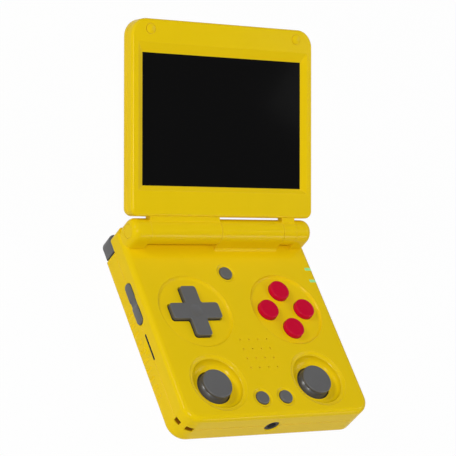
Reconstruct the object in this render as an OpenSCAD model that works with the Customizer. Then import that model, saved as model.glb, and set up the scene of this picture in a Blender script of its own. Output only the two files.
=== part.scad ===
// Clamshell handheld game console with its lid open.
// Millimetres. The origin is the centre of the base's flat underside: +X is the player's
// right, +Y runs to the hinge and +Z is up.

/* [Base] */
// Width of the base and of the lid
base_w = 87.7; // [87.3:0.1:92]
// Depth of the base, front face to rear face
base_d = 87.8; // [87.2:0.1:92]
// Height of the base, underside to top face
base_h = 15.7; // [15.4:0.1:18]
// Wall thickness of the base shells
wall = 1.6; // [1.4:0.05:1.7]
// Height of the seam between the base shells
seam_h = 8.5; // [8.3:0.1:8.8]
// Plan radius of the two front corners
front_corner_r = 7; // [6:0.25:8]
// Radius of the base's long edges and of its rear corners
edge_round = 2.2; // [1.8:0.1:2.4]
// Width and depth of the groove along each seam
seam_groove = 0.15; // [0.1:0.05:0.4]

/* [Hinge] */
// Radius of the hinge barrel
barrel_r = 5.13; // [4.9:0.01:5.2]
// Height of the hinge axis above the base's top face
hinge_rise = 4.79; // [4.7:0.01:5.2]
// Opening of the lid from closed, in degrees
lid_open = 145.3; // [0:0.1:155]
// Width of each end of the barrel, which belongs to the base
barrel_end_w = 8.05; // [7.4:0.05:9]
// Distance of the barrel's ends from the sides of the base
barrel_inset = 0.5; // [0.1:0.1:0.6]
// Edge radius of the barrel's ends
barrel_edge = 3; // [2:0.1:3.2]
// Width of the lid's left knuckle
left_knuckle_w = 33.4; // [32:0.1:35]
// Width of the lid's right knuckle
right_knuckle_w = 6.4; // [5:0.1:7.5]
// Gap between neighbouring lengths of the barrel
barrel_gap = 0.2; // [0.1:0.05:0.4]
// Gap between the barrel and the lid's lower edge
lid_slit = 0.67; // [0.5:0.01:1]
// Radius of the fillet between the centre barrel and the top face
barrel_fillet = 1; // [0.6:0.1:2]
// Radius of the left hinge pin
hinge_pin_r = 1.8; // [1.2:0.1:2]
// Radius of the friction cartridge in the right of the hinge
cartridge_r = 2.6; // [2.2:0.1:2.9]
// Radius of the cap in each end of the barrel
hinge_cap_r = 2.75; // [2.3:0.05:2.8]
// Radius of the cable way through the barrel
cable_way_r = 3.3; // [3.1:0.1:3.6]

/* [Lid] */
// Gap between the closed lid's face and the base's top face
lid_gap = 0.8; // [0.7:0.05:1.2]
// How far the closed lid reaches past the base's front face
lid_over = 0.4; // [0:0.05:0.5]
// Thickness of the lid
lid_t = 8.35; // [8.1:0.05:10]
// Wall thickness of the lid
lid_wall = 1.5; // [1.3:0.05:1.6]
// Plan radius of the lid's two top corners
lid_corner_r = 7; // [6:0.25:8]
// Edge radius of the lid's back, and plan radius of its lower corners
lid_back_round = 3; // [2.2:0.1:3.4]
// Edge radius of the lid's face
lid_face_round = 1.1; // [0.6:0.1:1.4]
// Width of the screen window
window_w = 77; // [74:0.5:77.5]
// Height of the screen window
window_h = 52; // [50:0.5:53]
// Distance from the hinge axis to the middle of the window
window_out = 43.8; // [43:0.1:45]
// Width of the bevel at each side of the window
bevel_side = 2.6; // [1.5:0.1:3]
// Width of the bevel below the window
bevel_low = 2; // [1:0.1:3]
// Width of the bevel above the window
bevel_high = 3.9; // [2:0.1:4.5]
// Depth of the bevel
bevel_depth = 1.25; // [0.8:0.05:1.25]
// Thickness of the cover glass
glass_t = 1; // [0.7:0.1:1.2]
// Thickness of the display panel
panel_t = 2.2; // [1.6:0.1:2.4]
// Radius of the two bumpers
bumper_r = 1.95; // [1.8:0.05:2.3]
// Distance of the bumpers from the centre line
bumper_x = 35.4; // [32:0.1:36]
// Distance of the bumpers from the lid's top edge
bumper_in = 4.1; // [3.8:0.1:4.4]

/* [Dishes and D-pad] */
// Distance of the two dishes from the centre line
dish_x = 21.95; // [21.5:0.05:22.2]
// Place of the dishes towards the hinge
dish_y = 4.5; // [4:0.1:5]
// Radius of a dish at the top face
dish_r = 16.5; // [16:0.1:17]
// Depth of a dish
dish_depth = 1; // [0.8:0.05:1.1]
// Width of the hollow slope inside a dish's rim
dish_slope = 1.4; // [1:0.1:2]
// Tip to tip span of the D-pad
pad_span = 22.7; // [22:0.1:24]
// Width of a D-pad arm
pad_arm = 7.2; // [7:0.1:8.2]
// Height of the D-pad above the base's top face
pad_rise = 0.6; // [0.3:0.1:0.9]
// Width of the chamfer round the D-pad's top
pad_chamfer = 0.95; // [0.5:0.05:1]
// Gap around the D-pad, wide enough for it to rock
pad_gap = 0.4; // [0.35:0.05:0.5]
// Radius of the D-pad's pivot ball
pad_ball_r = 1.5; // [1.2:0.1:1.7]

/* [Face and small buttons] */
// Radius of a face button
button_r = 4.35; // [4.1:0.05:4.5]
// Distance of a face button from the middle of its dish
button_out = 8.88; // [8.6:0.01:9.4]
// Height of the face buttons above the base's top face
button_rise = 1.1; // [0.8:0.1:1.3]
// Travel of a face button
button_travel = 0.9; // [0.6:0.1:1]
// Radius of the select, start and menu buttons
small_r = 2.85; // [2.6:0.05:2.9]
// Height of the small buttons above the base's top face
small_rise = 0.5; // [0.3:0.05:0.55]
// Travel of a small button
small_travel = 0.6; // [0.4:0.1:0.7]
// Radius of the shallow halo around a small button
halo_r = 4.3; // [4:0.1:4.5]
// Place of the middle column, which holds menu, select, start and the headphone jack
column_x = -0.7; // [-0.8:0.05:0]
// Distance of select and start from the middle column
select_x = 5.55; // [5.5:0.05:6.2]
// Place of select and start towards the hinge
select_y = -35.5; // [-36:0.1:-35.4]
// Place of the menu button towards the hinge
menu_y = 22.1; // [20:0.1:23]
// Gap around every button that moves in a hole
button_gap = 0.15; // [0.1:0.01:0.2]

/* [Thumbsticks] */
// Distance of the sticks from the centre line
stick_x = 23.85; // [23.6:0.05:24.1]
// Place of the sticks towards the hinge
stick_y = -27.85; // [-28.1:0.05:-27.7]
// Radius of the well's rim at the top face
well_r = 12.6; // [12.2:0.1:12.8]
// Radius of the hole at the bottom of the well
well_hole_r = 7.3; // [7.3:0.05:7.6]
// Depth of the hole's edge below the base's top face
well_depth = 4; // [3.9:0.05:4.1]
// Radius of the cap's thumb disc
cap_r = 6.35; // [5.8:0.05:6.4]
// Depth of the thumb disc's top below the base's top face
cap_depth = 0.6; // [0.6:0.1:1]
// Depth of the gimbal's centre below the base's top face
gimbal_depth = 7.6; // [7.4:0.1:7.8]
// Downward travel of a pressed stick
stick_press = 0.5; // [0.3:0.1:0.5]

/* [Sides and ports] */
// Length of the volume rocker
rocker_l = 18.4; // [16:0.2:20]
// Height of the rocker's two lobes
rocker_h = 3.9; // [3.4:0.1:4.2]
// Place of the rocker towards the hinge
rocker_y = 12.4; // [12:0.1:13]
// Depth of the hollow between the rocker's two lobes
rocker_dip = 0.45; // [0.3:0.05:0.5]
// How far the side buttons stand out of the side
side_proud = 0.6; // [0.3:0.1:0.8]
// Length of a card slot
slot_l = 11.6; // [11.4:0.1:12]
// Place of the card slots towards the hinge
slot_y = -7.2; // [-7.6:0.1:-6.8]
// Bore radius of the headphone jack
jack_r = 1.8; // [1.77:0.01:1.85]
// Depth of the headphone jack's bore
jack_l = 12; // [11:0.5:13]
// Speaker holes in each direction
speaker_holes = 4; // [2:1:5]
// Pitch of the speaker holes
speaker_pitch = 4.27; // [2.5:0.01:4.5]
// Radius of a speaker hole
speaker_hole_r = 0.4; // [0.3:0.05:0.7]
// Place of the speaker towards the hinge
speaker_y = -15.6; // [-16:0.1:-15]
// Number of grip grooves on each side
grip_count = 10; // [4:1:11]
// Pitch of the grip grooves
grip_pitch = 4; // [3:0.1:4]

/* [Shoulders] */
// Length of the rear edge that a corner shoulder button takes
shoulder_l = 16.2; // [15:0.1:17]
// Length of the rear edge that a trigger takes
trigger_l = 13.6; // [12:0.1:14]
// How far the shoulder buttons stand out of the rear face
shoulder_proud = 2.15; // [1.9:0.05:2.3]
// Plan radius of the shoulder button's outer corner
shoulder_corner = 3.2; // [2:0.1:4]
// Edge radius of the shoulder buttons, below and above
shoulder_round = 0.8; // [0.4:0.1:1]
// Travel of a shoulder button at its free end
shoulder_travel = 0.8; // [0.5:0.05:0.8]

/* [Inside] */
// Thickness of the main board
board_t = 1; // [0.8:0.05:1.2]
// Thickness of the membranes' sheets
membrane_t = 0.6; // [0.4:0.05:0.7]
// Width of the arms of the two cross-shaped membranes
membrane_w = 8.4; // [7.4:0.1:8.6]
// Radius of a dome under a face button or the D-pad
dome_r = 2.7; // [2.2:0.1:3]
// Thickness of the battery
battery_t = 4.8; // [3.5:0.1:4.9]
// Width of the battery
battery_w = 54; // [44:0.5:56]
// Depth of the battery
battery_d = 42; // [36:0.5:43]
// Place of the battery towards the hinge
battery_y = 8.5; // [8:0.1:9]
// Radius of the speaker
speaker_r = 9; // [8:0.1:9.1]
// Height of the speaker
speaker_t = 3.9; // [3:0.1:4]
// Width of a card reader along its slot
reader_l = 14; // [13.8:0.1:14.4]
// Thickness of a card reader
reader_t = 1.5; // [1.3:0.05:1.6]
// Width of the display cable
cable_w = 8; // [6:0.25:8]
// Width of a thumbstick's housing
stick_base_w = 15.5; // [14:0.1:15.6]
// Radius of the base screws' posts
post_r = 2.6; // [2.4:0.05:2.7]
// Radius of the screws
screw_r = 0.95; // [0.7:0.05:1]
// Radius of the screws' heads
screw_head_r = 1.9; // [1.5:0.05:1.95]

/* [Hidden] */
$fn = 48;

yellow = [0.86, 0.74, 0.1];
grey = [0.36, 0.36, 0.365];
dark_grey = [0.16, 0.16, 0.16];
red = [0.74, 0.05, 0.18];
steel = [0.7, 0.7, 0.72];
rubber = [0.25, 0.25, 0.27];

eps = 0.01;
// Radial clearance of a shaft that turns or slides in its hole
run_fit = 0.05;
// Gap between two pieces of one body that lie face to face
seat_gap = 0.05;

hinge_y = base_d / 2 - barrel_r;
hinge_z = base_h + hinge_rise;
floor_z = wall;
ceiling_z = base_h - wall;
inner_w = base_w - 2 * wall;
inner_d = base_d - 2 * wall;

// Lengths of the barrel along X
barrel_x = base_w / 2 - barrel_inset;
end_x = barrel_x - barrel_end_w;
centre_x0 = -end_x + left_knuckle_w;
centre_x1 = end_x - right_knuckle_w;
knuckle_recess_r = barrel_r + 0.57;
cap_gap = 0.12;

// The lid, in its own frame: the hinge axis is its origin, and the closed lid lies along -Y
lid_near = barrel_r + lid_slit;
lid_far = base_d - barrel_r + lid_over;
lid_face = hinge_rise - lid_gap;
lid_back = lid_t - lid_face;
web_drop = 3.3;
bumper_y = -lid_far + bumper_in;

// Cable of the display: radii of its roll, its thickness and where it drops into the base
roll_r = 2.6;
roll_in_r = 1.9;
cable_t = 0.2;
cable_y = hinge_y - roll_r;
cable_x = centre_x0 + 2;

glass_top = -lid_face + lid_wall + 0.02;
panel_top = glass_top + glass_t + 0.02;

// Centres of the select, start and menu buttons
small_spots = [[column_x - select_x, select_y], [column_x + select_x, select_y],
               [column_x, menu_y]];

// Heights of what lies under the top face
board_z = base_h - 7.6;
board_low = board_z - board_t;
dish_floor = base_h - dish_depth;
dish_ceiling = dish_floor - wall;
halo_depth = 0.4;
small_ceiling = base_h - halo_depth - wall;
flange_t = 0.85;
pad_pivot_z = base_h - 5;
pad_disc_r = 8.6;
pad_disc_top = dish_ceiling - 0.92;
pad_disc_t = 0.9;
pad_disc_low = pad_disc_top - pad_disc_t;
pad_boss_r = 2.4;
pad_corner = 1.3;
pad_reach = 8.2;
dimple_r = 10;
dimple_depth = 0.4;

// Undersides of the plungers and tops of the rubber domes below them
dome_gap = 0.1;
pad_plunger_z = base_h - 4.75;
face_plunger_z = base_h - 4.8;
small_plunger_z = base_h - 4.6;
pad_dome_top = pad_plunger_z - 0.75;
face_dome_top = face_plunger_z - button_travel - dome_gap;
small_dome_top = small_plunger_z - small_travel - dome_gap;
small_sheet_r = 2.2;

// Screws through the base: [x, y] of the right one of each pair
screw_spots = [[36.5, -35.5], [37.5, -18], [33, 28]];
boss_r = 2.4;

// Sticks
gimbal_z = base_h - gimbal_depth;
turret_r = 5.6;
turret_top = gimbal_z + 1;
cradle_r = 4.7;
cradle_in_r = 4.1;
yoke_r = 3.95;
yoke_in_r = 2.9;
yoke_t = 1.4;
gimbal_pin_r = 0.6;
lever_r = 1.3;
stick_base_top = base_h - 11;
stick_board_hole_r = 9.3;
skirt_r = 7.65;
skirt_t = 0.75;
skirt_low = 0.45;
cap_t = 1.2;

// Sides
side_z = base_h - 6.7;
rocker_pin_x = base_w / 2 - wall - 1.5;
side_flange_t = 0.8;
rocker_swing = 0.65;
rocker_gap = 0.25;
rocker_waist = 0.9;
rocker_dip_r = 5;
power_y = 13.4;
power_l = 8;
power_h = 3;
power_travel = 0.5;
reset_y = 4.2;
reset_r = 1.2;
slot_z = base_h - 6.8;
slot_h = 1.1;
reader_in = dish_x + membrane_w / 2 + 0.8;
jack_z = base_h - 8;
jack_w = 6;
jack_nose_r = 3;
jack_rim_w = 0.3;
jack_rim_depth = 0.35;
jack_sunk = 0.45;
port_z = board_z + 1.65;
charge_x = -6.2;
charge_w = 8.94;
charge_h = 3.2;
video_x = 6.8;
video_w = 10.4;
video_h = 2.8;
port_gap = 0.15;
// Cuts in the board's edges behind the rocker and behind the power and reset buttons
left_cut = 6;
right_cut = 4.8;
light_pipe_y = [23.8, 18];
light_pipe_w = 1.3;
light_pipe_in = 4.3;

// Shoulder buttons
notch_y = hinge_y - 1.9;
notch_low = 1.2;
shoulder_gap = 0.2;
shoulder_front = notch_y + shoulder_travel + 0.15;
shoulder_low = notch_low + shoulder_gap;
shoulder_top = seam_h - shoulder_gap;
shoulder_pin_r = 0.8;
shoulder_pin_y = shoulder_front + 1.4;
shoulder_in = base_w / 2 - shoulder_l;
notch_open_x = shoulder_in + 4;
trigger_out = shoulder_in - 0.65;
trigger_in = trigger_out - trigger_l;
shoulder_pin_x = shoulder_in + 1.5;
trigger_pin_x = trigger_in + 1.5;

// ---------------------------------------------------------------- shapes shared by pieces

// Edge of a plate in section: x runs outwards from r inside its edge, y up its height h, with
// its lower and upper outer corners rounded
module edge_section(r, h, low, high) {
  union() {
    translate([0, low]) square([r, h - low - high]);
    if (low > 0) {
      if (r > low) square([r - low, low + eps]);
      translate([r - low, low]) intersection() {
        circle(r = low);
        translate([0, -low]) square(low + eps);
      }
    }
    if (high > 0) {
      if (r > high) translate([0, h - high - eps]) square([r - high, high + eps]);
      translate([r - high, h - high]) intersection() {
        circle(r = high);
        translate([0, -eps]) square(high + 2 * eps);
      }
    }
  }
}

// Block with rounded corners whose edges are rounded below and above: rf and rr are the plan
// radii of its corners at -Y and +Y, and the upper edge at +Y has its own radius
module rounded_block(w, d, h, rf, rr, low, high, rear_high) {
  for (s = [-1, 1]) {
    translate([s * (w / 2 - rf), -d / 2 + rf, 0]) rotate([0, 0, s > 0 ? -90 : 180])
      rotate_extrude(angle = 90) edge_section(rf, h, low, high);
    translate([s * (w / 2 - rr), d / 2 - rr, 0]) rotate([0, 0, s > 0 ? 0 : 90])
      rotate_extrude(angle = 90) edge_section(rr, h, low, rear_high);
    mirror([s < 0 ? 1 : 0, 0, 0]) translate([w / 2 - rf, d / 2 - rr, 0]) rotate([90, 0, 0])
      linear_extrude(d - rf - rr) edge_section(rf, h, low, high);
  }
  translate([w / 2 - rf, -d / 2 + rf, 0]) rotate([0, 0, -90]) rotate([90, 0, 0])
    linear_extrude(w - 2 * rf) edge_section(rf, h, low, high);
  translate([-w / 2 + rr, d / 2 - rr, 0]) rotate([0, 0, 90]) rotate([90, 0, 0])
    linear_extrude(w - 2 * rr) edge_section(rr, h, low, rear_high);
  translate([-w / 2 + rf, -d / 2 + rf, 0]) cube([w - 2 * rf, d - rf - rr, h]);
}

// Plan of such a block
module plan(w, d, rf, rr) {
  translate([-w / 2, -d / 2 + rf]) square([w, d - rf - rr]);
  translate([-w / 2 + rf, -d / 2]) square([w - 2 * rf, rf + eps]);
  translate([-w / 2 + rr, d / 2 - rr - eps]) square([w - 2 * rr, rr + eps]);
  for (s = [-1, 1]) {
    translate([s * (w / 2 - rf), -d / 2 + rf]) circle(r = rf);
    translate([s * (w / 2 - rr), d / 2 - rr]) circle(r = rr);
  }
}

// Rectangle about the origin with rounded corners
module rounded_rect(w, h, r) {
  square([w - 2 * r, h], center = true);
  square([w, h - 2 * r], center = true);
  for (x = [-1, 1], y = [-1, 1]) translate([x * (w / 2 - r), y * (h / 2 - r)]) circle(r = r);
}

// Thin band outside a plan, which cuts a seam groove
module groove_band(w, d, rf, rr) {
  linear_extrude(seam_groove) difference() {
    square([w + 4, d + 4], center = true);
    plan(w - 2 * seam_groove, d - 2 * seam_groove, rf - seam_groove, rr - seam_groove);
  }
}

// Cylinder along X from x0 to x1
module rod_x(r, x0, x1) {
  translate([x0, 0, 0]) rotate([0, 90, 0]) cylinder(r = r, h = x1 - x0);
}

// Cylinder along Y from y0 to y1
module rod_y(r, y0, y1) {
  translate([0, y0, 0]) rotate([-90, 0, 0]) cylinder(r = r, h = y1 - y0);
}

// Children at both sides of the centre line, mirrored
module both_sides() {
  for (s = [0, 1]) mirror([s, 0, 0]) children();
}

// Children at the screws of the base
module at_screws() {
  for (p = screw_spots) both_sides() translate([p[0], p[1], 0]) children();
}

module at_hinge() {
  translate([0, hinge_y, hinge_z]) children();
}

module in_lid() {
  at_hinge() rotate([-lid_open, 0, 0]) children();
}

// ---------------------------------------------------------------- base

module base_block() {
  rounded_block(base_w, base_d, base_h, front_corner_r, edge_round, edge_round, edge_round, 0);
}

module base_cavity() {
  translate([0, 0, floor_z]) linear_extrude(ceiling_z - floor_z)
    plan(inner_w, inner_d, front_corner_r - wall, max(edge_round - wall, 0.4));
}

// Upper or lower part of the block
module base_part(upper) {
  difference() {
    base_block();
    translate([-base_w, -base_d, upper ? -base_h : seam_h])
      cube([2 * base_w, 2 * base_d, upper ? base_h + seam_h : base_h]);
    base_cavity();
  }
}

// Section of an end of the hinge barrel, from its axis outwards
module barrel_section() {
  edge_section(barrel_r, barrel_end_w, 0, barrel_edge);
}

// Upright foot of a barrel end between two heights
module barrel_foot(z0, z1) {
  translate([end_x, hinge_y, z0]) linear_extrude(z1 - z0)
    for (m = [0, 1]) mirror([0, m, 0]) mirror([1, 0, 0]) rotate(90) barrel_section();
}

// End of the hinge barrel: its section is swept up its front, over the top and down its rear
module barrel_end() {
  at_hinge() translate([end_x, 0, 0]) rotate([0, 90, 0]) rotate([0, 0, 90])
    rotate_extrude(angle = 180) barrel_section();
  barrel_foot(base_h, hinge_z);
}

// Centre length of the barrel, filleted into the top face in front
module centre_barrel() {
  length = centre_x1 - centre_x0 - barrel_gap;
  at_hinge() translate([centre_x0 + barrel_gap / 2, 0, 0]) rotate([90, 0, 90])
    linear_extrude(length) {
      intersection() {
        circle(r = barrel_r);
        translate([-barrel_r, 0]) square([2 * barrel_r, barrel_r]);
      }
      translate([-barrel_r, -hinge_rise]) square([2 * barrel_r, hinge_rise + eps]);
      translate([-barrel_r - barrel_fillet, -hinge_rise]) difference() {
        square([barrel_fillet + eps, barrel_fillet]);
        translate([0, barrel_fillet + eps]) circle(r = barrel_fillet);
      }
    }
}

// Room in the base for the lid's two knuckles
module knuckle_recesses() {
  at_hinge() {
    rod_x(knuckle_recess_r, -end_x, centre_x0);
    rod_x(knuckle_recess_r, centre_x1, end_x);
  }
}

// Dish in the top face: a flat floor that curves up to a crisp rim
module dish_cut() {
  steps = 5;
  sweep = 65;
  foot_r = dish_r - dish_slope;
  slope = [
    for (i = [0 : steps])
      [foot_r + dish_slope * sin(i * sweep / steps) / sin(sweep),
       dish_depth * (1 - cos(i * sweep / steps)) / (1 - cos(sweep))]
  ];
  translate([0, 0, dish_floor]) rotate_extrude()
    polygon(concat([[0, dish_depth + 1], [0, 0]], slope, [[dish_r, dish_depth + 1]]));
}

// What backs a dish's floor
module dish_floor_disc() {
  translate([0, 0, dish_ceiling]) cylinder(r = dish_r + 1.3, h = base_h - 0.5 - dish_ceiling);
}

// Plan of the D-pad, grown by g: two arms and the small fillets where they meet
module pad_plan(g) {
  fillet = 0.8;
  half = pad_arm / 2 + g;
  rounded_rect(pad_span + 2 * g, pad_arm + 2 * g, pad_corner);
  rounded_rect(pad_arm + 2 * g, pad_span + 2 * g, pad_corner);
  for (a = [0 : 90 : 270]) rotate(a) translate([half - eps, half - eps]) difference() {
    square(fillet);
    translate([fillet, fillet]) circle(r = fillet);
  }
}

// Section of a stick's well: a rounded rim, a ledge and a bowl that falls to the hole
module well_cut() {
  ledge_r = well_r - 1.4;
  ledge_z = -0.62;
  bowl_r = ledge_r - 0.35;
  steps = 7;
  bowl = [
    for (i = [0 : steps])
      [bowl_r - (bowl_r - well_hole_r) * (1 - cos(i * 90 / steps)),
       ledge_z - 0.2 - (well_depth + ledge_z - 0.2) * sin(i * 90 / steps)]
  ];
  rotate_extrude() polygon(concat(
    [[0, 1], [well_r + 1, 1], [well_r, 0], [well_r - 0.3, -0.25], [ledge_r + 0.45, ledge_z + 0.1],
     [ledge_r + 0.25, ledge_z], [ledge_r - 0.15, ledge_z]],
    bowl,
    [[well_hole_r, -well_depth], [well_hole_r, -7], [0, -7]]
  ));
}

// The cup under the top face that the well is cut into
module well_cup() {
  lip = 0.7;
  rotate_extrude() polygon([
    [0, -0.5], [well_r + 1.3, -0.5], [well_r + 1.3, -wall - 0.6], [well_r - 0.6, -wall - 1.6],
    [well_hole_r + 1.9, -well_depth - lip], [0, -well_depth - lip]
  ]);
}

// Outline of the rocker, length along x, grown by g: two lobes and a slight waist
module rocker_plan(g) {
  r = rocker_h / 2 + g;
  out = rocker_l / 2 + g - r;
  waist_x = 2.95;
  for (s = [-1, 1]) {
    translate([s * out, 0]) circle(r = r);
    translate([s * waist_x, 0]) circle(r = r);
    translate([s > 0 ? waist_x : -out, -r]) square([out - waist_x, 2 * r]);
  }
  square([2 * waist_x, rocker_h * rocker_waist + 2 * g], center = true);
}

// Everything that opens through the walls of both shells
module wall_openings() {
  through = 3 * wall;
  // volume rocker, left
  translate([-base_w / 2 - wall, rocker_y, side_z]) rotate([90, 0, 90])
    linear_extrude(through) rocker_plan(rocker_gap);
  // power and reset buttons, right
  translate([base_w / 2 - 2 * wall, power_y, side_z]) rotate([90, 0, 90])
    linear_extrude(through)
      rounded_rect(power_l + 2 * button_gap, power_h + 2 * button_gap, power_h / 2);
  translate([0, reset_y, side_z])
    rod_x(reset_r + button_gap, base_w / 2 - 2 * wall, base_w / 2 + wall);
  // card slots, both sides, each with a finger scoop below it
  both_sides() {
    translate([base_w / 2 - 2 * wall, slot_y, slot_z]) rotate([90, 0, 90])
      linear_extrude(through) rounded_rect(slot_l, slot_h, slot_h / 2 - 0.01);
    intersection() {
      translate([base_w / 2 + 7.2, slot_y, slot_z - 0.5]) sphere(r = 8);
      translate([base_w / 2 - wall, slot_y - slot_l / 2, slot_z - 5])
        cube([2 * wall, slot_l, 5]);
    }
  }
  // headphone jack, front: hole and countersunk rim
  translate([column_x, 0, jack_z]) {
    rod_y(jack_nose_r + seat_gap, -base_d / 2 - 1, -base_d / 2 + wall + 1);
    translate([0, -base_d / 2 - eps, 0]) rotate([-90, 0, 0])
      cylinder(r1 = jack_nose_r + seat_gap + jack_rim_w, r2 = jack_nose_r + seat_gap,
               h = jack_rim_depth);
  }
  // sockets, rear
  translate([charge_x, base_d / 2 + wall, port_z]) rotate([90, 0, 0]) linear_extrude(through)
    rounded_rect(charge_w + 2 * port_gap, charge_h + 2 * port_gap, charge_h / 2);
  translate([video_x, base_d / 2 + wall, port_z]) rotate([90, 0, 0]) linear_extrude(through)
    rounded_rect(video_w + 2 * port_gap + 0.6, video_h + 2 * port_gap, 0.6);
  lanyard_channel();
}

// Ring segment about the front left corner, from radius r0 to r1 and angle a0 to a1
module corner_ring(r0, r1, a0, a1, z0, z1) {
  translate([-base_w / 2 + front_corner_r, -base_d / 2 + front_corner_r, z0])
    rotate([0, 0, a0]) rotate_extrude(angle = a1 - a0)
      translate([r0, 0]) square([r1 - r0, z1 - z0]);
}

// Lanyard post: a channel behind the corner that opens at both sides of the post
module lanyard_channel() {
  z0 = seam_h - 1.35;
  z1 = seam_h + 1.05;
  corner_ring(front_corner_r - 3.2, front_corner_r - 1.2, 190, 264, z0, z1);
  corner_ring(front_corner_r - 1.5, front_corner_r + 1, 191, 214, z0, z1);
  corner_ring(front_corner_r - 1.5, front_corner_r + 1, 235, 263, z0, z1);
}

module lanyard_block(z0, z1) {
  corner_ring(front_corner_r - 4.4, front_corner_r - wall / 2, 181, 269, z0, z1);
}

module light_pipe_box(gap) {
  for (y = light_pipe_y)
    translate([base_w / 2 - light_pipe_in, y - light_pipe_w / 2 - gap, base_h - 3.6])
      cube([light_pipe_in + 1, light_pipe_w + 2 * gap, 5]);
}

// Way of the display cable from the barrel down into the base
module cable_slot() {
  slot_z = ceiling_z - 1;
  translate([cable_x - 0.5, cable_y - 0.3, slot_z])
    cube([cable_w + 1, cable_t + 0.6, hinge_z - slot_z]);
}

module base_top_shell() {
  color(yellow) difference() {
    union() {
      base_part(true);
      both_sides() {
        barrel_foot(base_h - edge_round, base_h);
        translate([dish_x, dish_y, 0]) dish_floor_disc();
        translate([stick_x, stick_y, base_h]) well_cup();
        // bosses over the pins of the shoulder buttons
        for (x = [shoulder_pin_x, trigger_pin_x])
          translate([x - 2, shoulder_pin_y - 1.8, seam_h])
            cube([4, base_d / 2 - wall / 2 - shoulder_pin_y + 1.8, 2.6]);
      }
      for (p = small_spots)
        translate([p[0], p[1], small_ceiling]) cylinder(r = halo_r + 0.7, h = wall);
      at_screws() translate([0, 0, board_z]) cylinder(r = boss_r, h = ceiling_z - board_z + eps);
      lanyard_block(seam_h, seam_h + 2.4);
      // collar that holds the speaker
      translate([0, speaker_y, ceiling_z - 2.6]) difference() {
        cylinder(r = speaker_r + 1.1, h = 2.6 + eps);
        translate([0, 0, -1]) cylinder(r = speaker_r + 0.1, h = 5);
      }
    }
    both_sides() translate([dish_x, dish_y, 0]) dish_cut();
    translate([-dish_x, dish_y, dish_ceiling - 1]) linear_extrude(wall + 2) pad_plan(pad_gap);
    for (a = [0 : 90 : 270]) translate([dish_x, dish_y, dish_ceiling - 1])
      rotate([0, 0, a]) translate([button_out, 0, 0])
        cylinder(r = button_r + button_gap, h = wall + 3);
    both_sides() translate([stick_x, stick_y, base_h]) well_cut();
    for (p = small_spots)
      translate([p[0], p[1], base_h - halo_depth]) {
        cylinder(r1 = halo_r - 0.7, r2 = halo_r + 0.09, h = halo_depth + 0.05);
        translate([0, 0, -wall - 1]) cylinder(r = small_r + button_gap, h = wall + 2);
      }
    offset_0 = -(speaker_holes - 1) / 2;
    for (i = [0 : speaker_holes - 1], j = [0 : speaker_holes - 1])
      translate([(offset_0 + i) * speaker_pitch, speaker_y + (offset_0 + j) * speaker_pitch,
                 ceiling_z - 1])
        cylinder(r = speaker_hole_r, h = wall + 2);
    light_pipe_box(seat_gap / 2);
    knuckle_recesses();
    cable_slot();
    at_screws() translate([0, 0, board_z - 1]) cylinder(r = screw_r, h = 4.5);
    both_sides() for (x = [shoulder_pin_x, trigger_pin_x])
      translate([x, shoulder_pin_y, seam_h - 1]) cylinder(r = shoulder_pin_r + seat_gap, h = 3);
    translate([0, 0, seam_h]) groove_band(base_w, base_d, front_corner_r, edge_round);
    wall_openings();
  }
}

// The base's lengths of the hinge barrel, which stand on the top shell: both ends and the centre
module hinge_barrel() {
  color(yellow) difference() {
    union() {
      both_sides() barrel_end();
      centre_barrel();
    }
    at_hinge() {
      rod_x(hinge_pin_r + seat_gap, -barrel_x + 1, -end_x + 1);
      rod_x(cartridge_r + seat_gap, centre_x1 - 9, barrel_x - 1);
      rod_x(cable_way_r, centre_x0 - 1, cable_x + cable_w + 2.5);
      for (s = [-1, 1]) translate([s * barrel_x, 0, 0])
        rod_x(hinge_cap_r + cap_gap, -1.2, 1.2);
    }
    cable_slot();
  }
}

// Grooves along the lower edge of both sides
module grip_grooves() {
  both_sides() for (i = [0 : grip_count - 1])
    translate([base_w / 2 + 0.6, -8.2 + (i - (grip_count - 1) / 2) * grip_pitch, -1]) {
      cylinder(r = 1.1, h = 6);
      translate([0, 0, 6]) sphere(r = 1.1);
    }
}

module base_bottom_shell() {
  color(yellow) difference() {
    union() {
      base_part(false);
      at_screws() translate([0, 0, floor_z - eps])
        cylinder(r = post_r, h = board_low - floor_z + eps);
      lanyard_block(seam_h - 2.6, seam_h);
      // bracket of the rocker's pin
      translate([-rocker_pin_x - 1.2, rocker_y - 1.4, floor_z - eps])
        cube([2.4, 2.8, side_z - rocker_h / 2 - 1.4 - floor_z]);
    }
    // room for the shoulder buttons and triggers at the rear corners
    both_sides() translate([trigger_in - shoulder_gap, notch_y, notch_low])
      cube([base_w, base_d, base_h]);
    both_sides() translate([notch_open_x, notch_y, -1]) cube([base_w, base_d, base_h]);
    at_screws() translate([0, 0, -1]) {
      cylinder(r = screw_r + 0.2, h = base_h);
      cylinder(r = screw_head_r + 0.2, h = 3);
    }
    both_sides() for (x = [shoulder_pin_x, trigger_pin_x])
      translate([x, shoulder_pin_y, 0.4]) cylinder(r = shoulder_pin_r + seat_gap, h = 3);
    translate([-rocker_pin_x, rocker_y, side_z - 6]) cylinder(r = gimbal_pin_r + seat_gap, h = 9);
    grip_grooves();
    translate([0, 0, seam_h - seam_groove + eps])
      groove_band(base_w, base_d, front_corner_r, edge_round);
    wall_openings();
  }
}

// ---------------------------------------------------------------- inside the base

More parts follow.
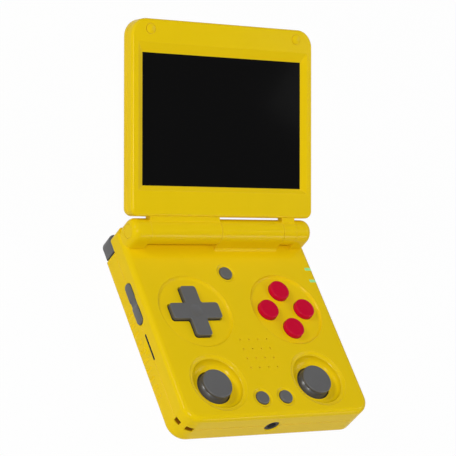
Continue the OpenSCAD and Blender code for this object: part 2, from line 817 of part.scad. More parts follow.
module main_board() {
  color([0.1, 0.35, 0.2]) translate([0, 0, board_low]) linear_extrude(board_t) difference() {
    union() {
      translate([0, (notch_y - 1.2 - inner_d / 2 + 1) / 2])
        plan(inner_w - 1.6, notch_y - 1.2 + inner_d / 2 - 1, front_corner_r - wall, 1);
      // tongue under the sockets in the rear face
      translate([-trigger_in + 0.6, 0]) square([2 * trigger_in - 1.2, inner_d / 2 - 0.3]);
    }
    for (s = [-1, 1]) translate([s * stick_x, stick_y]) circle(r = stick_board_hole_r);
    for (p = screw_spots, s = [-1, 1]) translate([s * p[0], p[1]]) circle(r = screw_r + 0.3);
    translate([column_x - jack_w / 2 - 0.2, -base_d / 2])
      square([jack_w + 0.4, wall + jack_sunk + jack_l + 0.6]);
    translate([-base_w / 2, rocker_y - rocker_l / 2 - 2])
      square([left_cut, rocker_l + 4]);
    translate([base_w / 2 - right_cut, reset_y - 3])
      square([right_cut, power_y - reset_y + power_l / 2 + 5]);
    // room for the lanyard post's block
    translate([-base_w / 2, -base_d / 2]) square(front_corner_r + 0.6);
  }
}

module battery() {
  color([0.2, 0.2, 0.22]) translate([0, battery_y, floor_z]) {
    linear_extrude(battery_t) rounded_rect(battery_w, battery_d, 1.5);
  }
}

module speaker() {
  magnet_h = 0.9;
  rim_h = 0.4;
  color(dark_grey) translate([0, speaker_y, ceiling_z - speaker_t]) {
    translate([0, 0, magnet_h]) cylinder(r = speaker_r, h = speaker_t - magnet_h - rim_h);
    cylinder(r = 0.6 * speaker_r, h = magnet_h + 0.1);
    translate([0, 0, speaker_t - rim_h - 0.1]) difference() {
      cylinder(r = speaker_r, h = rim_h);
      translate([0, 0, -1]) cylinder(r = speaker_r - 1, h = 3);
    }
  }
}

// Rubber dome of a membrane, standing on its sheet
module dome(r, top_z) {
  translate([0, 0, board_z + membrane_t - eps])
    cylinder(r1 = r, r2 = r * 0.7, h = top_z - board_z - membrane_t + eps);
}

// Cross-shaped sheet that joins four domes
module membrane_plan(span) {
  for (a = [0, 90]) rotate(a) rounded_rect(span, membrane_w, 3);
}

module face_membrane() {
  color(rubber) translate([dish_x, dish_y, 0]) {
    translate([0, 0, board_z]) linear_extrude(membrane_t) membrane_plan(2 * (button_out + dome_r + 1.2));
    for (a = [0 : 90 : 270]) rotate([0, 0, a]) translate([button_out, 0, 0])
      dome(dome_r, face_dome_top);
  }
}

module dpad_membrane() {
  color(rubber) translate([-dish_x, dish_y, 0]) {
    translate([0, 0, board_z]) linear_extrude(membrane_t) difference() {
      membrane_plan(2 * (pad_reach + dome_r + 0.6));
      circle(r = 3);
    }
    for (a = [0 : 90 : 270]) rotate([0, 0, a]) translate([pad_reach, 0, 0])
      dome(dome_r - 0.3, pad_dome_top);
  }
}

module small_membranes() {
  color(rubber) for (p = small_spots)
    translate([p[0], p[1], 0]) {
      translate([0, 0, board_z]) cylinder(r = small_sheet_r, h = membrane_t);
      dome(small_sheet_r - 0.3, small_dome_top);
    }
}

// Post on the board with a cup for the D-pad's pivot ball
module dpad_post() {
  color(grey) translate([-dish_x, dish_y, 0]) difference() {
    translate([0, 0, board_z]) cylinder(r = pad_boss_r, h = pad_pivot_z - 0.3 - board_z);
    translate([0, 0, pad_pivot_z]) sphere(r = pad_ball_r + run_fit);
  }
}

module jack_socket() {
  front = -base_d / 2 + jack_sunk;
  color(dark_grey) translate([column_x, 0, jack_z]) difference() {
    union() {
      rod_y(jack_nose_r, front, front + wall);
      translate([-jack_w / 2, -base_d / 2 + wall + seat_gap, -2.55])
        cube([jack_w, jack_l + jack_sunk - wall + 1, 5.1]);
    }
    rod_y(jack_r, front - 1, front + jack_l);
  }
}

module charging_socket() {
  depth = 7.4;
  color(steel) translate([charge_x, base_d / 2 - 0.3, port_z]) rotate([90, 0, 0]) {
    difference() {
      linear_extrude(depth) rounded_rect(charge_w, charge_h, charge_h / 2 - 0.01);
      translate([0, 0, -1]) linear_extrude(depth)
        rounded_rect(charge_w - 0.6, charge_h - 0.6, charge_h / 2 - 0.31);
    }
    // tongue
    translate([0, 0, 0.6]) linear_extrude(depth - 1) square([6.7, 0.7], center = true);
  }
}

module video_socket() {
  depth = 6.6;
  module outline(g) {
    w = video_w / 2 + g;
    h = video_h / 2 + g;
    polygon([[-w, h], [w, h], [w, -h + 1.1], [w - 1.1, -h], [-w + 1.1, -h], [-w, -h + 1.1]]);
  }
  color(steel) translate([video_x, base_d / 2 - 0.3, port_z]) rotate([90, 0, 0]) {
    difference() {
      linear_extrude(depth) outline(0);
      translate([0, 0, -1]) linear_extrude(depth) outline(-0.3);
    }
    translate([0, 0, 0.6]) linear_extrude(depth - 1) square([8, 0.6], center = true);
  }
}

// Card reader on the board, its slot facing out
module card_reader() {
  outer = base_w / 2 - wall - 0.1;
  difference() {
    translate([reader_in, slot_y - reader_l / 2, board_z])
      cube([outer - reader_in, reader_l, reader_t]);
    translate([reader_in + 1, slot_y - slot_l / 2, slot_z - 0.4])
      cube([outer - reader_in, slot_l, 0.8]);
  }
}

module left_card_reader() {
  color(steel) mirror([1, 0, 0]) card_reader();
}

module right_card_reader() {
  color(steel) card_reader();
}

// Small switches at the board's edge behind the rocker, power and reset buttons
module side_switches() {
  module tact(x0, x1, y) {
    translate([x0, y - 1.5, board_z]) cube([x1 - x0, 3, 1.5]);
  }
  rocker_back = base_w / 2 - wall - rocker_swing - side_flange_t;
  power_back = base_w / 2 - wall - seat_gap - side_flange_t;
  color(steel) {
    mirror([1, 0, 0]) for (s = [-1, 1])
      tact(base_w / 2 - left_cut - 1, rocker_back - rocker_swing - 0.15,
           rocker_y + s * (rocker_l / 2 - 1.6));
    for (y = [power_y, reset_y])
      tact(base_w / 2 - right_cut - 1, power_back - power_travel - 0.15, y);
  }
}

module status_light_pipes() {
  color([0.55, 0.85, 0.5]) difference() {
    intersection() {
      base_block();
      light_pipe_box(0);
    }
    translate([0, 0, floor_z]) linear_extrude(ceiling_z - floor_z)
      square([inner_w, inner_d], center = true);
  }
}

// ---------------------------------------------------------------- hinge

module hinge_caps() {
  color(yellow) at_hinge() both_sides()
    rod_x(hinge_cap_r, barrel_x - 1.15, barrel_x - 0.12);
}

module left_hinge_pin() {
  color(steel) at_hinge() rod_x(hinge_pin_r, -barrel_x + 1.25, -end_x + 9);
}

module friction_hinge() {
  color(steel) at_hinge() {
    rod_x(cartridge_r, centre_x1 - 8.9, barrel_x - 1.25);
  }
}

// Cable from the display: its roll in the centre barrel and its tail down to the board
module display_flex_base() {
  color([0.75, 0.5, 0.15]) {
    at_hinge() difference() {
      rod_x(roll_r, centre_x0 + 0.5, cable_x + cable_w + 1);
      rod_x(roll_in_r, centre_x0 - 1, cable_x + cable_w + 2);
    }
    translate([cable_x, cable_y, board_z + 1.2])
      cube([cable_w, cable_t, hinge_z - board_z - 1.2]);
    translate([cable_x, cable_y - 4.4, board_z]) cube([cable_w, 3.4, 1.2]);
    translate([cable_x, cable_y - 2, board_z + 1.2]) cube([cable_w, 2 + cable_t, cable_t]);
  }
}

module base_screws() {
  color(steel) at_screws() {
    translate([0, 0, 0.6]) cylinder(r = screw_head_r, h = 1.4);
    translate([0, 0, 1.9]) cylinder(r = screw_r - 0.02, h = board_z + 2.6 - 1.9);
  }
}

module shoulder_pins() {
  color(steel) both_sides() for (x = [shoulder_pin_x, trigger_pin_x])
    translate([x, shoulder_pin_y, 0.45]) cylinder(r = shoulder_pin_r, h = seam_h + 1.9 - 0.45);
}

module rocker_pin() {
  color(steel) translate([-rocker_pin_x, rocker_y, side_z - 5.5])
    cylinder(r = gimbal_pin_r, h = 5.5 + rocker_h / 2 + 1);
}

// ---------------------------------------------------------------- thumbsticks

module at_stick(side) {
  translate([side * stick_x, stick_y, 0]) children();
}

module stick_housing(side) {
  color(dark_grey) at_stick(side) difference() {
    union() {
      translate([0, 0, floor_z]) linear_extrude(stick_base_top - floor_z)
        rounded_rect(stick_base_w, stick_base_w, 1);
      translate([0, 0, stick_base_top - eps])
        cylinder(r = turret_r, h = turret_top - stick_base_top + eps);
    }
    translate([0, 0, gimbal_z - 2.4]) cylinder(r = cradle_r + run_fit, h = 10);
    translate([0, 0, floor_z + 1]) cylinder(r = 3.6, h = 10);
  }
}

// Ring that carries the gimbal and slides down when the stick is pressed
module stick_cradle(side) {
  color(steel) at_stick(side) translate([0, 0, gimbal_z]) difference() {
    translate([0, 0, -1.85]) cylinder(r = cradle_r, h = 2.75);
    translate([0, 0, -3]) cylinder(r = cradle_in_r, h = 6);
    rod_x(gimbal_pin_r + run_fit, -cradle_r - 1, cradle_r + 1);
  }
}

// Inner ring of the gimbal: it turns about X in the cradle, and the lever about Y in it
module stick_yoke(side) {
  color(grey) at_stick(side) translate([0, 0, gimbal_z]) difference() {
    union() {
      difference() {
        translate([0, 0, -yoke_t / 2]) cylinder(r = yoke_r, h = yoke_t);
        translate([0, 0, -2]) cylinder(r = yoke_in_r, h = 4);
      }
      for (s = [0, 1]) mirror([s, 0, 0])
        rod_x(gimbal_pin_r, (yoke_r + yoke_in_r) / 2, cradle_r - 0.1);
    }
    rod_y(gimbal_pin_r + run_fit - 0.1, -yoke_r - 1, yoke_r + 1);
  }
}

module stick_lever(side) {
  stem_top = base_h - cap_depth - 1.2;
  color(steel) at_stick(side) {
    translate([0, 0, gimbal_z - 1.6]) cylinder(r = lever_r, h = stem_top - gimbal_z + 1.6);
    translate([0, 0, gimbal_z]) rod_y(gimbal_pin_r - 0.1, -yoke_r + 0.1, yoke_r - 0.1);
  }
}

// Thumb disc on the round skirt that hides the module; the skirt is centred on the gimbal
module stick_cap(side) {
  top = gimbal_depth - cap_depth;
  hollow_top = top - cap_t - 1.3;
  dish_radius = 40;
  dish_sink = 0.35;
  color(grey) at_stick(side) translate([0, 0, gimbal_z]) difference() {
    union() {
      rotate_extrude() difference() {
        union() {
          translate([0, top - cap_t]) edge_section(cap_r, cap_t, 0.4, 0.5);
          intersection() {
            circle(r = skirt_r);
            translate([0, skirt_low]) square([skirt_r, top - cap_t - skirt_low + 0.1]);
          }
        }
        intersection() {
          circle(r = skirt_r - skirt_t);
          square([skirt_r, hollow_top]);
        }
      }
      translate([0, 0, hollow_top - 1.4]) cylinder(r = 2.6, h = 2);
    }
    // dished thumb face and socket of the lever
    translate([0, 0, top + dish_radius - dish_sink]) sphere(r = dish_radius);
    translate([0, 0, -1]) cylinder(r = lever_r + seat_gap, h = top - 1.15 + 1);
  }
}

module left_stick_housing() { stick_housing(-1); }
module right_stick_housing() { stick_housing(1); }
module left_stick_cradle() { stick_cradle(-1); }
module right_stick_cradle() { stick_cradle(1); }
module left_stick_yoke() { stick_yoke(-1); }
module right_stick_yoke() { stick_yoke(1); }
module left_stick_lever() { stick_lever(-1); }
module right_stick_lever() { stick_lever(1); }
module left_stick_cap() { stick_cap(-1); }
module right_stick_cap() { stick_cap(1); }

// ---------------------------------------------------------------- D-pad and buttons

module dpad_pivot_ball() {
  color(steel) translate([-dish_x, dish_y, pad_pivot_z]) sphere(r = pad_ball_r);
}

// One arm of the D-pad with its chamfered top edge
module pad_arm_block(w, h) {
  height = base_h + pad_rise - pad_disc_low;
  hull() {
    linear_extrude(height - pad_chamfer) rounded_rect(w, h, pad_corner, $fn = 32);
    linear_extrude(height)
      rounded_rect(w - 2 * pad_chamfer, h - 2 * pad_chamfer, pad_corner - pad_chamfer, $fn = 32);
  }
}

// Cross on its disc, with the cup that rocks on the pivot ball and plungers over the four domes
module dpad() {
  color(grey) translate([-dish_x, dish_y, 0]) difference() {
    union() {
      translate([0, 0, pad_disc_low]) {
        pad_arm_block(pad_span, pad_arm);
        pad_arm_block(pad_arm, pad_span);
        cylinder(r = pad_disc_r, h = pad_disc_t);
      }
      translate([0, 0, pad_pivot_z + 0.3])
        cylinder(r = pad_boss_r, h = pad_disc_low - pad_pivot_z);
      for (a = [0 : 90 : 270]) rotate([0, 0, a]) translate([pad_reach, 0, pad_plunger_z])
        cylinder(r = 1.5, h = pad_disc_top - 0.2 - pad_plunger_z);
    }
    translate([0, 0, pad_pivot_z]) sphere(r = pad_ball_r + run_fit);
    translate([0, 0, base_h + pad_rise + dimple_r - dimple_depth]) sphere(r = dimple_r);
  }
}

// Round button: cap through its hole, flange under the shell and plunger over its dome
module round_button(r, rise, edge, ceiling, plunger_r, plunger_z) {
  flange_top = ceiling - seat_gap;
  translate([0, 0, flange_top - flange_t]) {
    rotate_extrude() edge_section(r, base_h + rise - flange_top + flange_t, 0, edge);
    cylinder(r = r + 0.9, h = flange_t);
  }
  translate([0, 0, plunger_z]) cylinder(r = plunger_r, h = flange_top - flange_t / 2 - plunger_z);
}

// Face button at an angle round the right dish
module face_button(angle) {
  color(red) translate([dish_x, dish_y, 0]) rotate([0, 0, angle]) translate([button_out, 0, 0])
    round_button(button_r, button_rise, 0.7, dish_ceiling, 1.8, face_plunger_z);
}

module small_button(x, y) {
  color(grey) translate([x, y, 0])
    round_button(small_r, small_rise, 0.35, small_ceiling, 1.2, small_plunger_z);
}

module east_button() { face_button(0); }
module north_button() { face_button(90); }
module west_button() { face_button(180); }
module south_button() { face_button(270); }
module select_button() { small_button(column_x - select_x, select_y); }
module start_button() { small_button(column_x + select_x, select_y); }
module menu_button() { small_button(column_x, menu_y); }

// Volume rocker, which rocks on the pin behind it
module volume_rocker() {
  inner = base_w / 2 - wall - rocker_swing;
  color(grey) difference() {
    union() {
      translate([-base_w / 2 - side_proud, rocker_y, side_z]) rotate([90, 0, 90])
        linear_extrude(base_w / 2 + side_proud - inner + 0.3) rocker_plan(0);
      translate([-inner, rocker_y, side_z]) rotate([90, 0, 90])
        linear_extrude(side_flange_t) rounded_rect(rocker_l + 1.6, rocker_h + 1.6, 1);
      translate([-rocker_pin_x, rocker_y, side_z - rocker_h / 2])
        cylinder(r = 1.3, h = rocker_h);
    }
    translate([-rocker_pin_x, rocker_y, side_z - rocker_h])
      cylinder(r = gimbal_pin_r + run_fit, h = 2 * rocker_h);
    // hollow between the lobes
    translate([-base_w / 2 - side_proud + rocker_dip - rocker_dip_r, rocker_y, side_z - rocker_h])
      cylinder(r = rocker_dip_r, h = 2 * rocker_h);
  }
}

module power_button() {
  inner = base_w / 2 - wall - seat_gap;
  color(grey) {
    translate([inner - side_flange_t, power_y, side_z]) rotate([90, 0, 90])
      linear_extrude(base_w / 2 + side_proud - inner + side_flange_t)
        rounded_rect(power_l, power_h, power_h / 2 - 0.01);
    translate([inner - side_flange_t, power_y, side_z]) rotate([90, 0, 90])
      linear_extrude(side_flange_t) rounded_rect(power_l + 1.6, power_h + 1.6, 1);
  }
}

module reset_button() {
  inner = base_w / 2 - wall - seat_gap;
  color(grey) translate([0, reset_y, side_z]) {
    rod_x(reset_r, inner - side_flange_t, base_w / 2 - 0.2);
    rod_x(reset_r + 0.8, inner - side_flange_t, inner);
  }
}

// Shoulder button between x0 and x1 on the right: it fills the notch below the seam and stands
// out behind the rear face. A corner of more than 0 rounds its outer end in plan
module shoulder_body(x0, x1, corner, pin_x) {
  rear = base_d / 2 + shoulder_proud;
  depth = rear - shoulder_front;
  height = shoulder_top - shoulder_low;
  difference() {
    translate([0, 0, shoulder_low]) {
      translate([x0, shoulder_front, 0]) rotate([90, 0, 90]) linear_extrude(x1 - x0 - corner)
        edge_section(depth, height, shoulder_round, shoulder_round);
      if (corner > 0) translate([x1 - corner, rear - corner, 0]) {
        rotate_extrude(angle = 90) edge_section(corner, height, shoulder_round, shoulder_round);
        rotate([90, 0, 0]) linear_extrude(depth - corner)
          edge_section(corner, height, shoulder_round, shoulder_round);
      }
    }
    translate([pin_x, shoulder_pin_y, 0]) cylinder(r = shoulder_pin_r + run_fit, h = base_h);
  }
}

module right_shoulder() {
  color(grey) shoulder_body(shoulder_in, base_w / 2 - 0.1, shoulder_corner, shoulder_pin_x);
}

module right_trigger() {
  color(grey) shoulder_body(trigger_in, trigger_out, 0, trigger_pin_x);
}

module left_shoulder() { mirror([1, 0, 0]) right_shoulder(); }
module left_trigger() { mirror([1, 0, 0]) right_trigger(); }

// ---------------------------------------------------------------- lid

module lid_block() {
  translate([0, -(lid_near + lid_far) / 2, -lid_face])
    rounded_block(base_w, lid_far - lid_near, lid_t, lid_corner_r, lid_back_round,
                  lid_face_round, lid_back_round, lid_back_round);
}

module lid_cavity() {
  translate([0, -(lid_near + lid_far) / 2, -lid_face + lid_wall])
    linear_extrude(lid_t - 2 * lid_wall)
      plan(base_w - 2 * lid_wall, lid_far - lid_near - 2 * lid_wall, lid_corner_r - lid_wall,
           lid_back_round - lid_wall);
}

module lid_groove(z) {
  translate([0, -(lid_near + lid_far) / 2, z])
    groove_band(base_w, lid_far - lid_near, lid_corner_r, lid_back_round);
}

// Knuckle round the hinge axis, with the web that joins it to the lid
module knuckle(x0, x1) {
  rod_x(barrel_r, x0 + barrel_gap / 2, x1 - barrel_gap / 2);
  translate([x0 + barrel_gap / 2, -lid_near - lid_wall / 2, -web_drop])
    cube([x1 - x0 - barrel_gap, lid_near + lid_wall / 2, web_drop]);
}

// Sloped faces round the window, from the lid's face down to the bevel's depth
module window_bevel() {
  over = 0.1;
  slope_side = bevel_side / bevel_depth;
  slope_low = bevel_low / bevel_depth;
  slope_high = bevel_high / bevel_depth;
  w = window_w / 2;
  h = window_h / 2;
  intersection() {
    translate([0, h + 10, 0]) rotate([90, 0, 0]) linear_extrude(window_h + 20) polygon([
      [-w - bevel_side - slope_side * over, -over], [w + bevel_side + slope_side * over, -over],
      [w, bevel_depth], [-w, bevel_depth]
    ]);
    translate([-w - 10, 0, 0]) rotate([90, 0, 90]) linear_extrude(window_w + 20) polygon([
      [-h - bevel_high - slope_high * over, -over], [h + bevel_low + slope_low * over, -over],
      [h, bevel_depth], [-h, bevel_depth]
    ]);
  }
}

module lid_bezel() {
  big = 4 * base_w;
  color(yellow) in_lid() difference() {
    union() {
      difference() {
        lid_block();
        translate([-big / 2, -big / 2, 0]) cube([big, big, lid_t]);
        lid_cavity();
      }
      knuckle(-end_x, centre_x0);
      knuckle(centre_x1, end_x);
      both_sides() translate([bumper_x, bumper_y, -lid_face + 0.5])
        cylinder(r = bumper_r + 1.1, h = lid_face - 0.5);
    }
    // window with its bevel
    translate([0, -window_out, -lid_face]) {
      translate([-window_w / 2, -window_h / 2, 0]) cube([window_w, window_h, 2 * lid_wall]);
      window_bevel();
    }
    both_sides() translate([bumper_x, bumper_y, -lid_face]) {
      translate([0, 0, -1]) cylinder(r = bumper_r + 0.25, h = 1.25);
      translate([0, 0, -1]) cylinder(r = bumper_r + seat_gap, h = 2);
      cylinder(r = screw_head_r + 0.05, h = 2.1);
      cylinder(r = screw_r + 0.15, h = lid_t);
    }
    rod_x(hinge_pin_r + run_fit, -end_x - 1, -end_x + 10);
    rod_x(cartridge_r + run_fit, centre_x1 - 1, end_x + 1);
    rod_x(cable_way_r, centre_x0 - 18, centre_x0 + 1);
    // slot of the display cable through the web
    translate([centre_x0 - 14.5, -lid_near - 2 * lid_wall, -2])
      cube([cable_w + 3, lid_near + 2 * lid_wall, 1]);
    lid_groove(-seam_groove + eps);
  }
}

module lid_outer_shell() {
  big = 4 * base_w;
  panel_low = panel_top + panel_t + 0.05;
  color(yellow) in_lid() difference() {
    union() {
      difference() {
        lid_block();
        translate([-big / 2, -big / 2, -lid_t]) cube([big, big, lid_t]);
        lid_cavity();
      }
      both_sides() {
        translate([bumper_x, bumper_y, 0]) cylinder(r = bumper_r + 0.8, h = lid_back - 1);
        // pads that back the display panel
        for (y = [-1, 1])
          translate([22, -window_out + y * 16 - 4, panel_low])
            cube([8, 8, lid_back - lid_wall - panel_low + eps]);
      }
    }
    both_sides() translate([bumper_x, bumper_y, -1]) cylinder(r = screw_r, h = lid_back - 0.6);
    lid_groove(-eps);
  }
}

module screen_glass() {
  color([0.05, 0.05, 0.05]) in_lid() translate([0, -window_out, glass_top])
    linear_extrude(glass_t) rounded_rect(window_w + 3, window_h + 3, 1.2);
}

module display_panel() {
  color([0.1, 0.1, 0.12]) in_lid() translate([0, -window_out, panel_top])
    linear_extrude(panel_t) rounded_rect(window_w - 1, window_h - 0.5, 0.6);
}

// Cable of the display: flat to the knuckle, then rolled round the hinge axis
module display_flex_lid() {
  color([0.75, 0.5, 0.15]) in_lid() {
    translate([centre_x0 - 14, -window_out + window_h / 2 - 0.2, panel_top + 0.1])
      cube([cable_w + 2, window_out - window_h / 2 + 0.2 - 2.1, cable_t]);
    difference() {
      rod_x(roll_r, centre_x0 - 16, centre_x0 - 0.3);
      rod_x(roll_in_r, centre_x0 - 18, centre_x0 + 1);
    }
  }
}

module lid_bumpers() {
  color(yellow) in_lid() both_sides() translate([bumper_x, bumper_y, -lid_face]) {
    translate([0, 0, -0.05]) cylinder(r = bumper_r, h = 1);
    intersection() {
      translate([0, 0, 4.85]) sphere(r = 5.4);
      translate([0, 0, -2]) cylinder(r = bumper_r, h = 2);
    }
  }
}

module lid_screws() {
  color(steel) in_lid() both_sides() translate([bumper_x, bumper_y, -lid_face]) {
    translate([0, 0, 1.05]) cylinder(r = screw_head_r, h = 1);
    translate([0, 0, 1.5]) cylinder(r = screw_r - 0.02, h = lid_t - 3.2);
  }
}

base_top_shell();
base_bottom_shell();
hinge_barrel();
main_board();
battery();
speaker();
face_membrane();
dpad_membrane();
small_membranes();
dpad_post();
jack_socket();
charging_socket();
video_socket();
left_card_reader();
right_card_reader();
side_switches();
status_light_pipes();
hinge_caps();
left_hinge_pin();
friction_hinge();
display_flex_base();
base_screws();
shoulder_pins();
rocker_pin();
left_stick_housing();
right_stick_housing();
lid_bezel();
lid_outer_shell();
screen_glass();
display_panel();
display_flex_lid();
lid_bumpers();
lid_screws();
dpad_pivot_ball();
dpad();
north_button();
east_button();
south_button();
west_button();
select_button();
start_button();
menu_button();
volume_rocker();
power_button();
reset_button();
left_shoulder();
right_shoulder();
left_trigger();
right_trigger();
left_stick_cradle();
left_stick_yoke();
left_stick_lever();
left_stick_cap();
right_stick_cradle();
right_stick_yoke();
right_stick_lever();
right_stick_cap();
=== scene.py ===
"""Looks of a clamshell handheld game console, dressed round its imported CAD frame.

Each sub-assembly is a class that models its own pieces and dresses the CAD nodes it owns.
Sizes of pieces are millimetres, and those of finishes and of the studio are metres. The frame is
the CAD's: +X to the player's right, +Y to the hinge, +Z up.
"""

import logging
import math
from dataclasses import dataclass, replace
from enum import Enum
from typing import Callable, Sequence

import bmesh
import bpy
from mathutils import Matrix, Vector


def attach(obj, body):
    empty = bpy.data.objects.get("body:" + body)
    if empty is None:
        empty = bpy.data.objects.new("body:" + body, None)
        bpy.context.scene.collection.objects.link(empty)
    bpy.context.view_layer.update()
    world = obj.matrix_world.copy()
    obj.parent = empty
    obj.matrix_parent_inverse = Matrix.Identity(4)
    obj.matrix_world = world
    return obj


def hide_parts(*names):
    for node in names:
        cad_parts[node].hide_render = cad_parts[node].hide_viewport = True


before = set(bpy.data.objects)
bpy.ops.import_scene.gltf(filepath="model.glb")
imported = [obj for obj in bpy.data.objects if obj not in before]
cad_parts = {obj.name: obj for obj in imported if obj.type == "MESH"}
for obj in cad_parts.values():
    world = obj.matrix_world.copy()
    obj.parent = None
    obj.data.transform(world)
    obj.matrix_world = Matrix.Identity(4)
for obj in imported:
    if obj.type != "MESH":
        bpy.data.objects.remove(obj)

Material = bpy.types.Material
Node = bpy.types.Node
NodeSocket = bpy.types.NodeSocket
NodeTree = bpy.types.NodeTree
Outputs = bpy.types.bpy_prop_collection
Piece = bpy.types.Object
Edge = bmesh.types.BMEdge
Face = bmesh.types.BMFace

MM = 0.001
ORIGIN = (0.0, 0.0, 0.0)
LOG = logging.getLogger("console")
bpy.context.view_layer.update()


def mm(*values: float) -> Vector:
    """Vector given in millimetres."""
    return Vector(values) * MM


# ---- node wiring


class Socket(Enum):
    """Kinds of socket that a node group offers."""

    FLOAT = "NodeSocketFloat"
    COLOR = "NodeSocketColor"
    VECTOR = "NodeSocketVector"


@dataclass(frozen=True)
class Wiring:
    """Node tree, with short ways to add and link its nodes."""

    tree: NodeTree

    def feed(self, node: Node, inputs: dict) -> None:
        """Gives a node its inputs.

        Args:
            node: The node.
            inputs: Socket to link or value to set, by the input's name or place.
        """
        for name, given in inputs.items():
            if isinstance(given, NodeSocket):
                self.tree.links.new(given, node.inputs[name])
            else:
                node.inputs[name].default_value = given

    def add(self, kind: str, inputs: dict, **settings: object) -> Node:
        """Adds a node.

        Args:
            kind: Its type, without the ShaderNode that starts it.
            inputs: What its inputs are fed.
            settings: Its own settings, such as a Math node's operation.

        Returns:
            The node.
        """
        node = self.tree.nodes.new("ShaderNode" + kind)
        for name, setting in settings.items():
            setattr(node, name, setting)
        self.feed(node, inputs)
        return node

    def math(self, operation: str, a: object, b: object) -> NodeSocket:
        """Adds a Math node and returns its output."""
        return self.add("Math", {0: a, 1: b}, operation=operation).outputs[0]

    def noise(self, place: NodeSocket, scale: object, detail: float, **more: float) -> NodeSocket:
        """Adds a Noise Texture and returns its value."""
        inputs = {"Vector": place, "Scale": scale, "Detail": detail, **more}
        return self.add("TexNoise", inputs).outputs["Fac"]

    def mix(self, factor: NodeSocket, low: object, high: object) -> NodeSocket:
        """Adds a mix of two colours and returns its result."""
        inputs = {"Factor": factor, "A": low, "B": high}
        return self.add("Mix", inputs, data_type="RGBA").outputs["Result"]


@dataclass(frozen=True)
class Canvas(Wiring):
    """Material under way: its Principled BSDF, its output and its object coordinates."""

    material: Material
    shader: Node
    out: Node
    place: NodeSocket

    def shade(self, inputs: dict) -> None:
        """Gives the Principled BSDF its inputs."""
        self.feed(self.shader, inputs)

    def group(self, tree: NodeTree, inputs: dict) -> Outputs:
        """Places a node group that reads the object coordinates, and returns its outputs."""
        return self.add("Group", {"Coordinates": self.place, **inputs}, node_tree=tree).outputs

    def relief(self, height: NodeSocket, depth: float) -> NodeSocket:
        """Adds a relief whose height of 1 stands for a depth in metres, and returns its normal."""
        inputs = {"Height": height, "Distance": depth, "Strength": 1.0}
        return self.add("Bump", inputs).outputs["Normal"]


def start_material(name: str) -> Canvas:
    """Makes a material with only a Principled BSDF, an output and object coordinates.

    Args:
        name: Name of the material.

    Returns:
        The material, ready to be wired.
    """
    material = bpy.data.materials.new(name)
    material.use_nodes = True
    tree = material.node_tree
    tree.nodes.clear()
    net = Wiring(tree)
    shader = net.add("BsdfPrincipled", {})
    out = net.add("OutputMaterial", {"Surface": shader.outputs["BSDF"]})
    return Canvas(tree, material, shader, out, net.add("TexCoord", {}).outputs["Object"])


def start_group(name: str, inputs: dict, outputs: dict) -> tuple:
    """Makes an empty shader node group with named sockets.

    Args:
        name: Name of the group.
        inputs: Kind of each input, by its name.
        outputs: Kind of each output, by its name.

    Returns:
        (net, outputs of the Group Input node, Group Output node).
    """
    tree = bpy.data.node_groups.new(name, "ShaderNodeTree")
    for in_out, sockets in (("INPUT", inputs), ("OUTPUT", outputs)):
        for title, kind in sockets.items():
            tree.interface.new_socket(title, in_out=in_out, socket_type=kind.value)
    entry = tree.nodes.new("NodeGroupInput")
    return Wiring(tree), entry.outputs, tree.nodes.new("NodeGroupOutput")


# ---- effects shared by materials

SURFACE = {"Colour": Socket.COLOR, "Roughness": Socket.FLOAT, "Height": Socket.FLOAT}
EDGE_REACH = 0.0003
EDGE_GAIN = 6.0
EDGE_POLISH = 0.5
SWIRLS_PER_METRE = 45.0
MARKS_PER_METRE = 160.0
MARK_STRENGTH = 1.4
STREAKS_PER_METRE = (300.0, 9000.0, 9000.0)
STREAK_STRENGTH = 0.25


def edge_mask(net: Wiring) -> NodeSocket:
    """Adds nodes that find edges for wear and a painted highlight: 0 on flat faces, rising to 1
    where faces meet.

    Args:
        net: Tree that the nodes go into.

    Returns:
        The mask.
    """
    soft = net.add("Bevel", {"Radius": EDGE_REACH}, samples=2)
    hard = net.add("NewGeometry", {})
    dot = net.add("VectorMath", {0: soft.outputs["Normal"], 1: hard.outputs["Normal"]},
                  operation="DOT_PRODUCT")
    bend = net.math("SUBTRACT", 1.0, dot.outputs["Value"])
    return net.math("MINIMUM", net.math("MULTIPLY", bend, EDGE_GAIN), 1.0)


def moulded_surface_group() -> NodeTree:
    """Makes the group for moulded plastic: a fine grain, a faint swirl, handling marks and paler
    edges, partly worn and partly a painted highlight.

    Returns:
        The group. It puts out the colour, the roughness and the height of the grain.
    """
    net, entry, out = start_group("MouldedSurface", {
        "Coordinates": Socket.VECTOR, "Colour": Socket.COLOR, "Grain per metre": Socket.FLOAT,
        "Roughness": Socket.FLOAT, "Variation": Socket.FLOAT, "Worn edge and sheen": Socket.FLOAT,
    }, SURFACE)
    place, variation = entry["Coordinates"], entry["Variation"]
    grain = net.noise(place, entry["Grain per metre"], 3.0, Roughness=0.55)
    swirl = net.noise(place, SWIRLS_PER_METRE, 2.0, Distortion=1.2)
    marks = net.noise(place, MARKS_PER_METRE, 4.0)
    drift = net.math("MULTIPLY", net.math("SUBTRACT", swirl, 0.5), variation)
    # Edges are painted lighter and paler: partly wear, partly a painted highlight along the rims.
    edge = net.math("MULTIPLY", edge_mask(net), entry["Worn edge and sheen"])
    edge = net.math("MULTIPLY", edge, swirl)
    tint = net.add("HueSaturation", {
        "Color": entry["Colour"],
        "Value": net.math("ADD", net.math("ADD", drift, edge), 1.0),
        "Saturation": net.math("SUBTRACT", 1.0, edge),
    })
    spread = net.math("MULTIPLY", net.math("SUBTRACT", marks, 0.5), variation)
    spread = net.math("MULTIPLY", spread, MARK_STRENGTH)
    spread = net.math("SUBTRACT", spread, net.math("MULTIPLY", edge, EDGE_POLISH))
    net.feed(out, {"Colour": tint.outputs["Color"], "Height": grain,
                   "Roughness": net.math("ADD", spread, entry["Roughness"])})
    return net.tree


